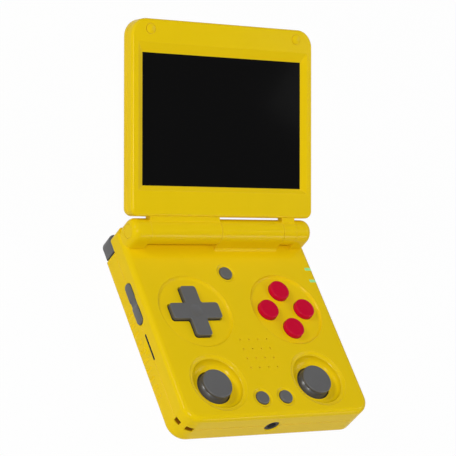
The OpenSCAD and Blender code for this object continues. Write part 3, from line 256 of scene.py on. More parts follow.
def recess_shade_group() -> NodeTree:
    """Makes the group for painted shade in a recess that runs round an upright axis.

    Returns:
        The group. It puts out the mask of the painted shade: 1 inside the recess, 0 on the outer
        face.
    """
    net, entry, out = start_group("RecessShade", {
        "Coordinates": Socket.VECTOR, "Centre": Socket.VECTOR, "Reach": Socket.FLOAT,
        "Depth": Socket.FLOAT, "Half height": Socket.FLOAT,
    }, {"Mask": Socket.FLOAT})
    way = net.add("VectorMath", {0: entry["Coordinates"], 1: entry["Centre"]},
                  operation="SUBTRACT")
    axes = net.add("SeparateXYZ", {"Vector": way.outputs["Vector"]}).outputs
    flat = net.add("CombineXYZ", {"X": axes["X"], "Y": axes["Y"]})
    length = net.add("VectorMath", {0: flat.outputs["Vector"]}, operation="LENGTH")
    inside = net.math("SUBTRACT", entry["Reach"], length.outputs["Value"])
    inside = net.math("DIVIDE", inside, entry["Depth"])
    inside = net.math("MINIMUM", net.math("MAXIMUM", inside, 0.0), 1.0)
    height = net.math("ABSOLUTE", axes["Z"], 0.0)
    level = net.math("LESS_THAN", height, entry["Half height"])
    net.feed(out, {"Mask": net.math("MULTIPLY", inside, level)})
    return net.tree


def brushed_metal_group() -> NodeTree:
    """Makes the group for drawn or turned metal: fine streaks along one axis.

    Returns:
        The group. It puts out the colour, the roughness and the height of the streaks.
    """
    net, entry, out = start_group("BrushedMetal", {
        "Coordinates": Socket.VECTOR, "Colour": Socket.COLOR, "Roughness": Socket.FLOAT,
    }, SURFACE)
    stretch = net.add("Mapping", {"Vector": entry["Coordinates"], "Scale": STREAKS_PER_METRE})
    streaks = net.noise(stretch.outputs["Vector"], 1.0, 2.0)
    swing = net.math("MULTIPLY", net.math("SUBTRACT", streaks, 0.5), STREAK_STRENGTH)
    tint = net.add("HueSaturation", {"Color": entry["Colour"],
                                     "Value": net.math("ADD", swing, 1.0)})
    net.feed(out, {"Colour": tint.outputs["Color"], "Height": streaks,
                   "Roughness": net.math("ADD", swing, entry["Roughness"])})
    return net.tree


MOULDED_SURFACE = moulded_surface_group()
RECESS_SHADE = recess_shade_group()
BRUSHED_METAL = brushed_metal_group()


# ---- finishes


class Finish:
    """What every finish shares: its material is made once, under the finish's name."""

    name: str

    def build(self) -> Material:
        """Makes the material, unless it is there already.

        Returns:
            The material.
        """
        if self.name not in bpy.data.materials:
            self.paint(start_material(self.name))
        return bpy.data.materials[self.name]

    def paint(self, canvas: Canvas) -> None:
        """Wires the material, which each finish does in its own way."""
        raise NotImplementedError


@dataclass(frozen=True)
class MouldedPlastic(Finish):
    """Finish of a moulded plastic or rubber piece."""

    name: str
    colour: tuple
    roughness: float = 0.42
    grain_per_metre: float = 5200.0
    grain_depth: float = 4e-6
    variation: float = 0.05
    coat: float = 0.0
    coat_roughness: float = 0.2
    specular: float = 0.5
    # How far the edges are paled: partly wear, partly a painted highlight.
    worn_edge_and_sheen: float = 0.1

    def paint(self, canvas: Canvas) -> None:
        """Wires the moulded surface and the coat."""
        surface = canvas.group(MOULDED_SURFACE, {
            "Colour": (*self.colour, 1.0), "Grain per metre": self.grain_per_metre,
            "Roughness": self.roughness, "Variation": self.variation,
            "Worn edge and sheen": self.worn_edge_and_sheen,
        })
        canvas.shade({"Coat Weight": self.coat, "Coat Roughness": self.coat_roughness,
                      "Specular IOR Level": self.specular,
                      "Normal": canvas.relief(surface["Height"], self.grain_depth),
                      **self.tones(canvas, surface)})

    def tones(self, canvas: Canvas, surface: Outputs) -> dict:
        """Says what feeds the shader's colour and roughness: the surface as it is."""
        return {"Base Color": surface["Colour"], "Roughness": surface["Roughness"]}


@dataclass(frozen=True)
class ShellPlastic(MouldedPlastic):
    """Finish of the shells, with painted shade: the plastic is painted darker in the channel
    behind the lanyard post, where shade falls.
    """

    # Where the painted shade in the lanyard channel lies, and the shade's colour.
    corner: tuple = (-0.03685, -0.0369, 0.00835)
    reach: float = 0.0069
    depth: float = 0.0006
    half_height: float = 0.0013
    recess_shade_colour: tuple = (0.3, 0.11, 0.004)

    def tones(self, canvas: Canvas, surface: Outputs) -> dict:
        """Paints shade inside the channel: takes the painted shade's colour there."""
        recess = canvas.group(RECESS_SHADE, {"Centre": self.corner, "Reach": self.reach,
                                       "Depth": self.depth, "Half height": self.half_height})
        return {"Base Color": canvas.mix(recess["Mask"], surface["Colour"],
                                         (*self.recess_shade_colour, 1.0)),
                "Roughness": surface["Roughness"]}


@dataclass(frozen=True)
class CapPlastic(MouldedPlastic):
    """Finish of a cap that is matt above a height and darker and polished below it; on the D-pad
    and the round buttons the darker colour below is painted shade in the gap round the key.
    """

    split: float = 0.0137
    # Colour below the split; on the D-pad and the round buttons it is painted shade in the gap
    # round the key.
    skirt_colour_and_gap_shade: tuple = (0.07, 0.07, 0.072)
    skirt_roughness: float = 0.33
    skirt_coat: float = 0.0

    def tones(self, canvas: Canvas, surface: Outputs) -> dict:
        """Takes the skirt's colour, which on the D-pad and the round buttons is painted shade, and
        its roughness and coat below the split.

        Args:
            canvas: The material.
            surface: Outputs of the moulded surface.

        Returns:
            What feeds the shader.
        """
        axes = canvas.add("SeparateXYZ", {"Vector": canvas.place}).outputs
        above = canvas.math("GREATER_THAN", axes["Z"], self.split)
        below = canvas.math("SUBTRACT", 1.0, above)
        step = canvas.math("SUBTRACT", surface["Roughness"], self.skirt_roughness)
        step = canvas.math("MULTIPLY", step, above)
        return {"Base Color": canvas.mix(above, (*self.skirt_colour_and_gap_shade, 1.0), surface["Colour"]),
                "Roughness": canvas.math("ADD", step, self.skirt_roughness),
                "Coat Weight": canvas.math("MULTIPLY", below, self.skirt_coat)}


@dataclass(frozen=True)
class Metal(Finish):
    """Finish of a bare metal piece."""

    name: str
    colour: tuple
    roughness: float = 0.3
    streak_depth: float = 2e-6

    def paint(self, canvas: Canvas) -> None:
        """Wires the brushed metal."""
        surface = canvas.group(BRUSHED_METAL, {"Colour": (*self.colour, 1.0),
                                               "Roughness": self.roughness})
        canvas.shade({"Base Color": surface["Colour"], "Roughness": surface["Roughness"],
                      "Metallic": 1.0,
                      "Normal": canvas.relief(surface["Height"], self.streak_depth)})


@dataclass(frozen=True)
class ScreenCover(Finish):
    """Finish of the dark cover glass over the display."""

    name: str = "screen_cover"
    colour: tuple = (0.0045, 0.0045, 0.0047)
    roughness: float = 0.04
    smear: float = 0.06
    smears_per_metre: float = 60.0
    specular: float = 0.015

    def paint(self, canvas: Canvas) -> None:
        """Wires the glass, which faint smears make duller."""
        dull = canvas.math("MULTIPLY", canvas.noise(canvas.place, self.smears_per_metre, 3.0),
                           self.smear)
        canvas.shade({"Base Color": (*self.colour, 1.0), "Specular IOR Level": self.specular,
                      "Roughness": canvas.math("ADD", dull, self.roughness)})


@dataclass(frozen=True)
class LightGuide(Finish):
    """Finish of the clear tinted light pipes."""

    name: str = "light_guide"
    colour: tuple = (0.24, 0.6, 0.2)
    glow: float = 0.25
    roughness: float = 0.25
    haze_per_metre: float = 900.0
    haze_gain: float = 1.25

    def paint(self, canvas: Canvas) -> None:
        """Wires the lit plastic, with a haze that is a little brighter.

        Args:
            canvas: The material.
        """
        bright = [min(1.0, c * self.haze_gain) for c in self.colour]
        haze = canvas.noise(canvas.place, self.haze_per_metre, 2.0)
        tint = canvas.mix(haze, (*self.colour, 1.0), (*bright, 1.0))
        canvas.shade({"Base Color": tint, "Emission Color": tint,
                      "Emission Strength": self.glow, "Roughness": self.roughness})


SLATE = (0.1, 0.1, 0.102)
KEY_SKIN = {"roughness": 0.38, "grain_per_metre": 7000.0, "grain_depth": 5e-6,
            "variation": 0.1, "specular": 0.4}
YELLOW = ShellPlastic("yellow_shell_plastic", (0.88, 0.612, 0.003), roughness=0.16,
                      specular=0.065, worn_edge_and_sheen=0.08)
GREY = MouldedPlastic("grey_key_plastic", SLATE, **KEY_SKIN, worn_edge_and_sheen=0.4)
STICK = CapPlastic("stick_cap_plastic", SLATE, roughness=0.4, grain_per_metre=6000.0,
                   grain_depth=6e-6, variation=0.1, specular=0.35, worn_edge_and_sheen=0.4,
                   skirt_coat=0.35)
# The D-pad and the small keys are nearly black below the split: painted shade in the gap round
# each key.
DECK_GREY = CapPlastic("grey_deck_key_plastic", SLATE, **KEY_SKIN, worn_edge_and_sheen=0.5, split=0.01475,
                       skirt_colour_and_gap_shade=(0.012, 0.012, 0.012), skirt_roughness=0.5)
SMALL_GREY = replace(DECK_GREY, name="grey_small_key_plastic", split=0.01535)
# The red buttons are dark below the split: painted shade in the gap round each button.
RED = CapPlastic("red_button_plastic", (0.62, 0.0008, 0.033), roughness=0.26,
                 grain_depth=3e-6, specular=0.07, worn_edge_and_sheen=0.3, split=0.01475,
                 skirt_colour_and_gap_shade=(0.12, 0.0, 0.006), skirt_roughness=0.4)
DARK = MouldedPlastic("dark_plastic", (0.005, 0.005, 0.005), roughness=0.65,
                      grain_per_metre=6000.0, grain_depth=5e-6, variation=0.1, specular=0.01)
SILICONE = MouldedPlastic("silicone_sheet", (0.07, 0.07, 0.08), roughness=0.65,
                          grain_per_metre=3000.0, grain_depth=6e-6, variation=0.1)
BOARD = MouldedPlastic("coated_board", (0.008, 0.10, 0.045), roughness=0.3,
                       grain_per_metre=2500.0, grain_depth=6e-6, variation=0.2, coat=0.3)
CABLE = MouldedPlastic("cable_film", (0.45, 0.2, 0.03), roughness=0.3,
                       grain_per_metre=2000.0, grain_depth=3e-6, variation=0.15)
BATTERY = MouldedPlastic("battery_wrap", (0.05, 0.055, 0.065), roughness=0.35,
                         grain_per_metre=1200.0, grain_depth=8e-6, variation=0.15)
PANEL = MouldedPlastic("display_panel_face", (0.012, 0.012, 0.014), roughness=0.15,
                       grain_per_metre=4000.0, grain_depth=1e-6, variation=0.1)
STEEL = Metal("bright_steel", (0.62, 0.62, 0.63))
SCREW_STEEL = Metal("blackened_screw_steel", (0.16, 0.16, 0.165), roughness=0.38)
GLASS = ScreenCover()
GUIDE = LightGuide()


# ---- modelling helpers


class Axis(Enum):
    """Axes of the frame, by their place in a vector."""

    X = 0
    Y = 1
    Z = 2


class Element(Enum):
    """Kinds of mesh element that are picked."""

    FACE = "FACE"
    EDGE = "EDGE"


class Change(Enum):
    """What a Boolean does with its tool."""

    CUT = "DIFFERENCE"
    ADD = "UNION"


SHARP_ANGLE = math.radians(35.0)
ALONG = 0.99  # share of its length that an edge or a normal has along a way it runs
SAME_PLACE = 2e-6  # metres
MERGE_DISTANCE = 1e-7  # metres
BLUNT = 0.2  # millimetres
PAST = 1.0  # millimetres that a cutter runs past a piece
CUTTER_STEPS = 96
CUTTER_RINGS = 64
SIDES = (("left", -1), ("right", 1))


def dress(finish: Finish, *names: str) -> None:
    """Gives CAD nodes a finish.

    Args:
        finish: The finish.
        names: Names of the nodes.
    """
    for name in names:
        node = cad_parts[name]
        node.data.materials.clear()
        node.data.materials.append(finish.build())
        LOG.info("dressed %s with %s", name, finish.name)


def rest() -> None:
    """Returns to object mode with nothing selected."""
    if bpy.context.object is not None and bpy.context.object.mode != "OBJECT":
        bpy.ops.object.mode_set(mode="OBJECT")
    bpy.ops.object.select_all(action="DESELECT")


def take(piece: Piece, *more: Piece) -> None:
    """Selects pieces and nothing else.

    Args:
        piece: Piece that becomes the active one.
        more: Other pieces.
    """
    rest()
    for each in (piece, *more):
        each.select_set(True)
    bpy.context.view_layer.objects.active = piece


def edit(piece: Piece) -> None:
    """Opens a piece in edit mode with all of its mesh selected.

    Args:
        piece: The piece.
    """
    take(piece)
    bpy.ops.object.mode_set(mode="EDIT")
    bpy.ops.mesh.select_all(action="SELECT")


def pick(piece: Piece, kind: Element, test: Callable) -> None:
    """Selects, in edit mode, the faces or edges that pass a test.

    Args:
        piece: Piece in edit mode.
        kind: Kind of element.
        test: Called with each face or edge.
    """
    bpy.ops.mesh.select_mode(type=kind.value)
    bpy.ops.mesh.select_all(action="DESELECT")
    mesh = bmesh.from_edit_mesh(piece.data)
    for element in mesh.faces if kind is Element.FACE else mesh.edges:
        if test(element):
            element.select_set(True)
    bmesh.update_edit_mesh(piece.data)


def runs_along(edge: Edge, axis: Axis) -> bool:
    """Tells whether an edge runs along an axis."""
    way = edge.verts[1].co - edge.verts[0].co
    return abs(way[axis.value]) > ALONG * way.length


def lies_at(edge: Edge, axis: Axis, place: float) -> bool:
    """Tells whether an edge lies across an axis at a place given in millimetres."""
    return all(abs(v.co[axis.value] - place * MM) < SAME_PLACE for v in edge.verts)


def ends_arm(face: Face, way: Vector) -> bool:
    """Tells whether a face looks along a level way and has its middle on it."""
    off_way = abs(way.cross(face.calc_center_median()).z)
    return face.normal.dot(way) > ALONG and off_way < SAME_PLACE / 2


def block(name: str, low: Sequence[float], high: Sequence[float]) -> Piece:
    """Starts a piece from a cube that is pulled to a box in edit mode.

    Args:
        name: Name of the piece.
        low: Lowest corner in millimetres.
        high: Highest corner in millimetres.

    Returns:
        The piece.
    """
    rest()
    bpy.ops.mesh.primitive_cube_add(size=MM, location=ORIGIN)
    piece = bpy.context.active_object
    piece.name = name
    edit(piece)
    bpy.ops.transform.resize(value=[b - a for a, b in zip(low, high)])
    bpy.ops.transform.translate(value=mm(*[(a + b) / 2 for a, b in zip(low, high)]))
    rest()
    return piece


def bevel(piece: Piece, test: Callable, width: float, steps: int = 3) -> None:
    """Bevels the edges that pass a test.

    Args:
        piece: The piece.
        test: Called with each edge.
        width: Width of the bevel in millimetres.
        steps: Number of segments.
    """
    edit(piece)
    pick(piece, Element.EDGE, test)
    bpy.ops.mesh.bevel(offset=width * MM, segments=steps, affect="EDGES", clamp_overlap=True)
    rest()


def arc(x: float, z: float, r: float, start: float, end: float, steps: int = 5) -> list:
    """Points of a profile along an arc, with its angles in degrees."""
    turns = [math.radians(start + (end - start) * i / steps) for i in range(steps + 1)]
    return [(x + r * math.cos(t), z + r * math.sin(t)) for t in turns]


def blunt_end(radius: float, low: float) -> list:
    """Points of a profile round the lower end of a plunger."""
    return [*arc(radius - BLUNT, low + BLUNT, BLUNT, 0, -90, 3), (0, low)]


def lathe(name: str, profile: Sequence[tuple], axis: Axis = Axis.Z, steps: int = 64) -> Piece:
    """Turns a piece: a vertex is extruded along a half profile, which is spun round an axis.

    Args:
        name: Name of the piece.
        profile: (radius, place along the axis) of each point in millimetres.
        axis: Axis.Z or Axis.X.
        steps: Number of steps round the axis.

    Returns:
        The piece.
    """
    upright = axis is Axis.Z
    points = [mm(r, 0, t) if upright else mm(t, r, 0) for r, t in profile]
    rest()
    bpy.ops.mesh.primitive_plane_add(size=MM, location=ORIGIN)
    piece = bpy.context.active_object
    piece.name = name
    edit(piece)
    bpy.ops.mesh.merge(type="CENTER")
    bpy.ops.mesh.select_mode(type="VERT")
    bpy.ops.mesh.select_all(action="SELECT")
    bpy.ops.transform.translate(value=points[0])
    for near, far in zip(points, points[1:]):
        bpy.ops.mesh.extrude_vertices_move(TRANSFORM_OT_translate={"value": far - near})
    bpy.ops.mesh.select_all(action="SELECT")
    bpy.ops.mesh.spin(steps=steps, angle=math.tau, center=ORIGIN,
                      axis=(0, 0, 1) if upright else (1, 0, 0))
    bpy.ops.mesh.select_all(action="SELECT")
    bpy.ops.mesh.remove_doubles(threshold=MERGE_DISTANCE)
    bpy.ops.mesh.normals_make_consistent(inside=False)
    rest()
    return piece


def move(piece: Piece, *way: float) -> Piece:
    """Moves a piece's mesh, with its origin left where it is.

    Args:
        piece: The piece.
        way: How far along X, Y and Z in millimetres.

    Returns:
        The same piece.
    """
    edit(piece)
    bpy.ops.transform.translate(value=mm(*way))
    rest()
    return piece


def copy_of(piece: Piece, name: str, mirrored: bool = False) -> Piece:
    """Copies a piece, with a mesh of its own.

    Args:
        piece: The piece.
        name: Name of the copy.
        mirrored: Whether the copy changes sides, left for right.

    Returns:
        The copy.
    """
    take(piece)
    bpy.ops.object.duplicate()
    copy = bpy.context.active_object
    copy.name = name
    if mirrored:
        edit(copy)
        bpy.ops.transform.resize(value=(-1, 1, 1), center_override=ORIGIN)
        bpy.ops.mesh.normals_make_consistent(inside=False)
        rest()
    return copy


def cutter(radius: float, place: Sequence[float], length: float = 0.0) -> Piece:
    """Makes a ball, or a cylinder along Z where a length is given, that cuts another piece.

    Args:
        radius: Its radius in millimetres.
        place: Its centre in millimetres.
        length: Length of the cylinder, or 0 for a ball.

    Returns:
        The cutter.
    """
    rest()
    if length:
        bpy.ops.mesh.primitive_cylinder_add(vertices=CUTTER_STEPS, radius=radius * MM,
                                            depth=length * MM, location=ORIGIN)
    else:
        bpy.ops.mesh.primitive_uv_sphere_add(segments=CUTTER_STEPS, ring_count=CUTTER_RINGS,
                                             radius=radius * MM, location=ORIGIN)
    return move(bpy.context.active_object, *place)


def combine(piece: Piece, tool: Piece, change: Change = Change.CUT) -> None:
    """Applies a Boolean to a piece and removes the tool.

    Args:
        piece: The piece.
        tool: Piece that cuts it or is added to it.
        change: What is done with the tool.
    """
    take(piece)
    step = piece.modifiers.new("change", "BOOLEAN")
    step.object, step.operation, step.solver = tool, change.value, "EXACT"
    bpy.ops.object.modifier_apply(modifier=step.name)
    bpy.data.objects.remove(tool)


def join(piece: Piece, *others: Piece) -> Piece:
    """Joins pieces into one.

    Args:
        piece: Piece that the others are joined into.
        others: The others.

    Returns:
        The first piece.
    """
    take(piece, *others)
    bpy.ops.object.join()
    rest()
    return piece


def place_piece(obj: Piece, finish: Finish, body: str, node: str = "") -> None:
    """Smooths and finishes a piece, and puts it in place of a CAD node where one is named.

    Args:
        obj: The piece.
        finish: Its finish.
        body: Body that it rides on.
        node: CAD node that it stands for, or nothing for a piece of its own.
    """
    take(obj)
    bpy.ops.object.shade_smooth_by_angle(angle=SHARP_ANGLE)
    obj.data.materials.clear()
    obj.data.materials.append(finish.build())
    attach(obj, body)
    if node:
        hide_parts(node)
    LOG.info("modelled %s, %d faces, on %s", obj.name, len(obj.data.polygons), body)
    rest()


# ---- sub-assemblies


@dataclass
class Lid:
    """Lid: bezel, back, screen, bumpers and the cable roll in the hinge."""

    def build(self) -> None:
        """Dresses the lid."""
        dress(YELLOW, "lid_bezel", "lid_outer_shell", "lid_bumpers")
        dress(GLASS, "screen_glass")
        dress(PANEL, "display_panel")
        dress(CABLE, "display_flex_lid")
        dress(SCREW_STEEL, "lid_screws")


@dataclass
class BaseScrews:
    """Six screws with cross recesses in the underside."""

    spots: Sequence[tuple] = ((36.5, -35.5), (37.5, -18.0), (33.0, 28.0))
    shank_r: float = 0.93
    end: float = 10.7
    taper_r: float = 0.3
    taper: float = 0.5
    head_r: float = 1.9
    head_low: float = 0.6
    head_top: float = 2.0
    head_edge: float = 0.35
    cross_reach: float = 1.1
    cross_width: float = 0.22
    cross_depth: float = 0.7

    def build(self) -> None:
        """Turns one screw, cuts its recess and sets a copy into each spot on both sides."""
        low, edge = self.head_low, self.head_edge
        screw = lathe("base_screws_cross_head", [
            (0, self.end), (self.shank_r - self.taper_r, self.end),
            (self.shank_r, self.end - self.taper), (self.shank_r, self.head_top),
            (self.head_r, self.head_top), *arc(self.head_r - edge, low + edge, edge, 0, -90, 4),
            (0, low),
        ], steps=40)
        for x, y in ((self.cross_reach, self.cross_width), (self.cross_width, self.cross_reach)):
            combine(screw, block("recess", (-x, -y, low - PAST), (x, y, low + self.cross_depth)))
        screws = [move(copy_of(screw, "screw"), s * x, y, 0)
                  for x, y in self.spots for s in (-1, 1)]
        bpy.data.objects.remove(screw)
        screws[0].name = "base_screws_cross_head"
        place_piece(join(*screws), SCREW_STEEL, "base", "base_screws")


@dataclass
class SlotShadeLiners:
    """Painted shade: dark collars set in the card slots, where there is only shade, so that the
    slots read as black lines; the memory cards pass through them.
    """

    y: float = -7.2
    z: float = 8.9
    length: float = 11.54
    height: float = 1.04
    inner: float = 42.35
    outer: float = 43.8
    corner: float = 0.5
    mouth_length: float = 10.94
    mouth_height: float = 0.6

    def bar(self, name: str, length: float, height: float, past: float) -> Piece:
        """Makes a bar along the slot's way that runs past both ends of the collar."""
        return block(name, (self.inner - past, self.y - length / 2, self.z - height / 2),
                     (self.outer + past, self.y + length / 2, self.z + height / 2))

    def build(self) -> None:
        """Models the right collar and its mirrored copy."""
        right = self.bar("right_card_slot_shade_liner", self.length, self.height, 0)
        bevel(right, lambda e: runs_along(e, Axis.X), self.corner, 6)
        combine(right, self.bar("mouth", self.mouth_length, self.mouth_height, PAST))
        # The liners are dark plastic put where there is only shade: painted shade in the card
        # slots.
        for liner in (copy_of(right, "left_card_slot_shade_liner", mirrored=True), right):
            place_piece(liner, DARK, "base")


@dataclass
class Base:
    """Base shells and all that stays with them."""

    def build(self) -> None:
        """Dresses the base and models its screws and the slot liners, dark collars that paint the
        shade in the card slots.
        """
        dress(YELLOW, "base_top_shell", "base_bottom_shell", "hinge_barrel", "hinge_caps")
        dress(GUIDE, "status_light_pipes")
        dress(BOARD, "main_board")
        dress(BATTERY, "battery")
        dress(DARK, "speaker", "dpad_post", "jack_socket", "left_stick_housing",
              "right_stick_housing")
        dress(SILICONE, "face_membrane", "dpad_membrane", "small_membranes")
        dress(CABLE, "display_flex_base")
        dress(STEEL, "charging_socket", "video_socket", "left_card_reader",
              "right_card_reader", "side_switches", "left_hinge_pin", "friction_hinge",
              "shoulder_pins", "rocker_pin")
        BaseScrews().build()
        SlotShadeLiners().build()


@dataclass
class Pad:
    """D-pad: a chamfered cross on a disc, with its boss and plungers."""

    centre: tuple = (-21.95, 4.5)
    span: float = 22.7
    arm: float = 7.2
    low: float = 11.28
    top: float = 16.3
    tip_corner: float = 1.3
    inner_corner: float = 0.8
    chamfer: float = 0.95
    edge: float = 0.12
    disc_r: float = 8.6
    disc_top: float = 12.18
    disc_edge: float = 0.2
    hub_r: float = 3.0
    hub_rise: float = 0.5
    boss_r: float = 2.4
    boss_low: float = 11.0
    cup_r: float = 1.55
    cup_z: float = 10.7
    dimple_r: float = 10.0
    dimple_depth: float = 0.4
    plunger_r: float = 1.5
    plunger_low: float = 10.95
    plunger_sunk: float = 0.2
    reach: float = 8.2
    ways: Sequence[tuple] = ((1, 0), (-1, 0), (0, 1), (0, -1))

    def build(self) -> None:
        """Models the D-pad."""
        cross = self.build_cross()
        disc = lathe("disc", [
            (0, self.disc_top + self.hub_rise), (self.hub_r, self.disc_top + self.hub_rise),
            (self.hub_r, self.disc_top), (self.disc_r - self.disc_edge, self.disc_top),
            (self.disc_r, self.disc_top - self.disc_edge), (self.disc_r, self.low),
            (self.boss_r, self.low), (self.boss_r, self.boss_low), (0, self.boss_low),
        ])
        combine(cross, disc, Change.ADD)
        combine(cross, cutter(self.cup_r, (0, 0, self.cup_z)))
        combine(cross, cutter(self.dimple_r, (0, 0, self.top + self.dimple_r - self.dimple_depth)))
        root = self.disc_top - self.plunger_sunk
        plunger = lathe("plunger", [(0, root), (self.plunger_r, root),
                                    *blunt_end(self.plunger_r, self.plunger_low)], steps=32)
        plungers = [move(copy_of(plunger, "plunger"), x * self.reach, y * self.reach, 0)
                    for x, y in self.ways]
        bpy.data.objects.remove(plunger)
        key = move(join(cross, *plungers), *self.centre, 0)
        place_piece(key, DECK_GREY, "dpad", "dpad")

    def build_cross(self) -> Piece:
        """Pulls four arms out of a cube, rounds their corners and chamfers the top.

        Returns:
            The cross.
        """
        half, shoulder = self.arm / 2, self.top - self.chamfer
        cross = block("dpad_cross", (-half, -half, self.low), (half, half, self.top))
        edit(cross)
        for way in (Vector((*way, 0)) for way in self.ways):
            pick(cross, Element.FACE, lambda f, way=way: ends_arm(f, way))
            bpy.ops.mesh.extrude_region_move(
                TRANSFORM_OT_translate={"value": way * (self.span / 2 - half) * MM})
        rest()
        bevel(cross, lambda e: runs_along(e, Axis.Z) and self.is_at_tip(e), self.tip_corner, 5)
        bevel(cross, lambda e: runs_along(e, Axis.Z) and not self.is_at_tip(e),
              self.inner_corner, 4)
        bevel(cross, lambda e: lies_at(e, Axis.Z, self.top), self.chamfer, 1)
        bevel(cross, lambda e: lies_at(e, Axis.Z, self.top) or lies_at(e, Axis.Z, shoulder),
              self.edge, 2)
        return cross

    def is_at_tip(self, edge: Edge) -> bool:
        """Tells whether an upright edge is out on an arm, and not where two arms meet."""
        x, y, _ = edge.verts[0].co
        return max(abs(x), abs(y)) > self.arm / 2 * MM + SAME_PLACE


@dataclass(frozen=True)
class RoundButton:
    """Kind of round key: a cap with a filleted edge, a flange under the shell and a plunger."""

    radius: float
    top: float
    fillet: float
    flange_top: float
    plunger_r: float
    plunger_low: float
    finish: Finish
    slot: str
    flange_t: float = 0.85
    flange_out: float = 0.9
    flange_edge: float = 0.1
    crown: float = 0.06
    crown_at: float = 0.45
    crown_share: float = 0.25

    def build(self, places: dict) -> None:
        """Turns one key and sets a copy of it in each place.

        Args:
            places: (x, y) in millimetres of each CAD node that the keys stand for.
        """
        rim_r, rim_top = self.radius - self.fillet, self.top - self.crown
        flange_r, flange_low = self.radius + self.flange_out, self.flange_top - self.flange_t
        edge = self.flange_edge
        key = lathe("round_key", [
            (0, self.top), (self.radius * self.crown_at, self.top - self.crown * self.crown_share),
            (rim_r, rim_top), *arc(rim_r, rim_top - self.fillet, self.fillet, 84, 0, 6),
            (self.radius, self.flange_top), (flange_r - edge, self.flange_top),
            (flange_r, self.flange_top - edge), (flange_r, flange_low + edge),
            (flange_r - edge, flange_low), (self.plunger_r, flange_low),
            *blunt_end(self.plunger_r, self.plunger_low),
        ])
        for node, place in places.items():
            cap = move(copy_of(key, node + "_cap"), *place, 0)
            place_piece(cap, self.finish, node, node)
        bpy.data.objects.remove(key)


@dataclass
class Buttons:
    """The four face buttons and the select, start and menu buttons."""

    dish: tuple = (21.95, 4.5)
    out: float = 8.88
    column: float = -0.7
    select_x: float = 5.55
    select_y: float = -35.5
    menu_y: float = 22.1
    face: RoundButton = RoundButton(
        radius=4.35, top=16.8, fillet=0.6, flange_top=13.05, plunger_r=1.8, plunger_low=10.9,
        finish=RED, slot="red_button")
    small: RoundButton = RoundButton(
        radius=2.85, top=16.2, fillet=0.5, flange_top=13.65, plunger_r=1.2, plunger_low=11.1,
        finish=SMALL_GREY, slot="grey_plastic")

    def build(self) -> None:
        """Models the seven round buttons."""
        ways = {"east": (1, 0), "north": (0, 1), "west": (-1, 0), "south": (0, -1)}
        self.face.build({
            name + "_button": (self.dish[0] + x * self.out, self.dish[1] + y * self.out)
            for name, (x, y) in ways.items()})
        self.small.build({"select_button": (self.column - self.select_x, self.select_y),
                          "start_button": (self.column + self.select_x, self.select_y),
                          "menu_button": (self.column, self.menu_y)})


@dataclass
class Thumbsticks:
    """Both thumbsticks: a cap is a dished disc on a round skirt, with the lever's socket."""

    stick_x: float = 23.85
    stick_y: float = -27.85
    gimbal: float = 8.1
    top: float = 15.1
    radius: float = 6.35
    thickness: float = 1.2
    dish_radius: float = 40.0
    dish_depth: float = 0.35
    dish_steps: Sequence[float] = (0, 1.5, 3, 4.2)
    rim: float = 0.5
    lip: float = 0.35
    skirt_r: float = 7.65
    skirt_in_r: float = 6.9
    skirt_low: float = 0.45
    hollow_top: float = 12.6
    post_r: float = 2.6
    post_low: float = 11.2
    socket_r: float = 1.35
    socket_top: float = 13.95

    def skirt(self, radius: float, start: float, end: float, steps: int) -> list:
        """Makes the points of the skirt's outer or inner face between two heights."""
        turns = [math.degrees(math.asin((z - self.gimbal) / radius)) for z in (start, end)]
        return arc(0, self.gimbal, radius, *turns, steps)

    def build(self) -> None:
        """Turns one cap, sets a copy of it on each side and dresses the modules below them."""
        under, low = self.top - self.thickness, self.gimbal + self.skirt_low
        bottom = self.dish_radius - self.dish_depth
        dish_r = math.sqrt(self.dish_radius ** 2 - bottom ** 2)
        dish = [(r, self.top + bottom - math.sqrt(self.dish_radius ** 2 - r * r))
                for r in (*self.dish_steps, dish_r)]
        cap = lathe("thumb_cap", [
            *dish, (self.radius - self.rim, self.top),
            *arc(self.radius - self.rim, self.top - self.rim, self.rim, 80, 0, 5),
            *arc(self.radius - self.lip, under + self.lip, self.lip, 0, -90, 4),
            *self.skirt(self.skirt_r, under, low, 14),
            *self.skirt(self.skirt_in_r, low, self.hollow_top, 8),
            (self.post_r, self.hollow_top), (self.post_r, self.post_low),
            (self.socket_r, self.post_low), (self.socket_r, self.socket_top),
            (0, self.socket_top),
        ], steps=96)
        for side, s in SIDES:
            dress(DARK, side + "_stick_yoke")
            dress(STEEL, side + "_stick_cradle", side + "_stick_lever")
            one = move(copy_of(cap, side + "_thumb_cap"), s * self.stick_x, self.stick_y, 0)
            place_piece(one, STICK, side + "_stick", side + "_stick_cap")
        bpy.data.objects.remove(cap)


@dataclass
class SideKeys:
    """What the keys in the side walls share."""

    half_width: float = 43.85
    wall: float = 1.6
    proud: float = 0.6
    z: float = 9.0
    flange_t: float = 0.8
    flange_out: float = 0.8
    flange_corner: float = 1.0
    flange_gap: float = 0.05

    def plate(self, name: str, y: float, length: float, height: float, x0: float,
              x1: float, round_r: float) -> Piece:
        """Makes a plate across X with rounded ends.

        Args:
            name: Name of the plate.
            y: Place of its middle along Y.
            length: Its length along Y.
            height: Its height along Z.
            x0: Lower of its faces along X.
            x1: Higher of its faces along X.
            round_r: Radius of its corners.

        Returns:
            The plate.
        """
        plate = block(name, (x0, y - length / 2, self.z - height / 2),
                      (x1, y + length / 2, self.z + height / 2))
        bevel(plate, lambda e: runs_along(e, Axis.X), round_r, 10)
        return plate

    def flange(self, y: float, length: float, height: float, x: float) -> Piece:
        """Makes the flange that keeps a key of a length and height behind the wall."""
        return self.plate("flange", y, length + 2 * self.flange_out, height + 2 * self.flange_out,
                          x, x + self.flange_t, self.flange_corner)


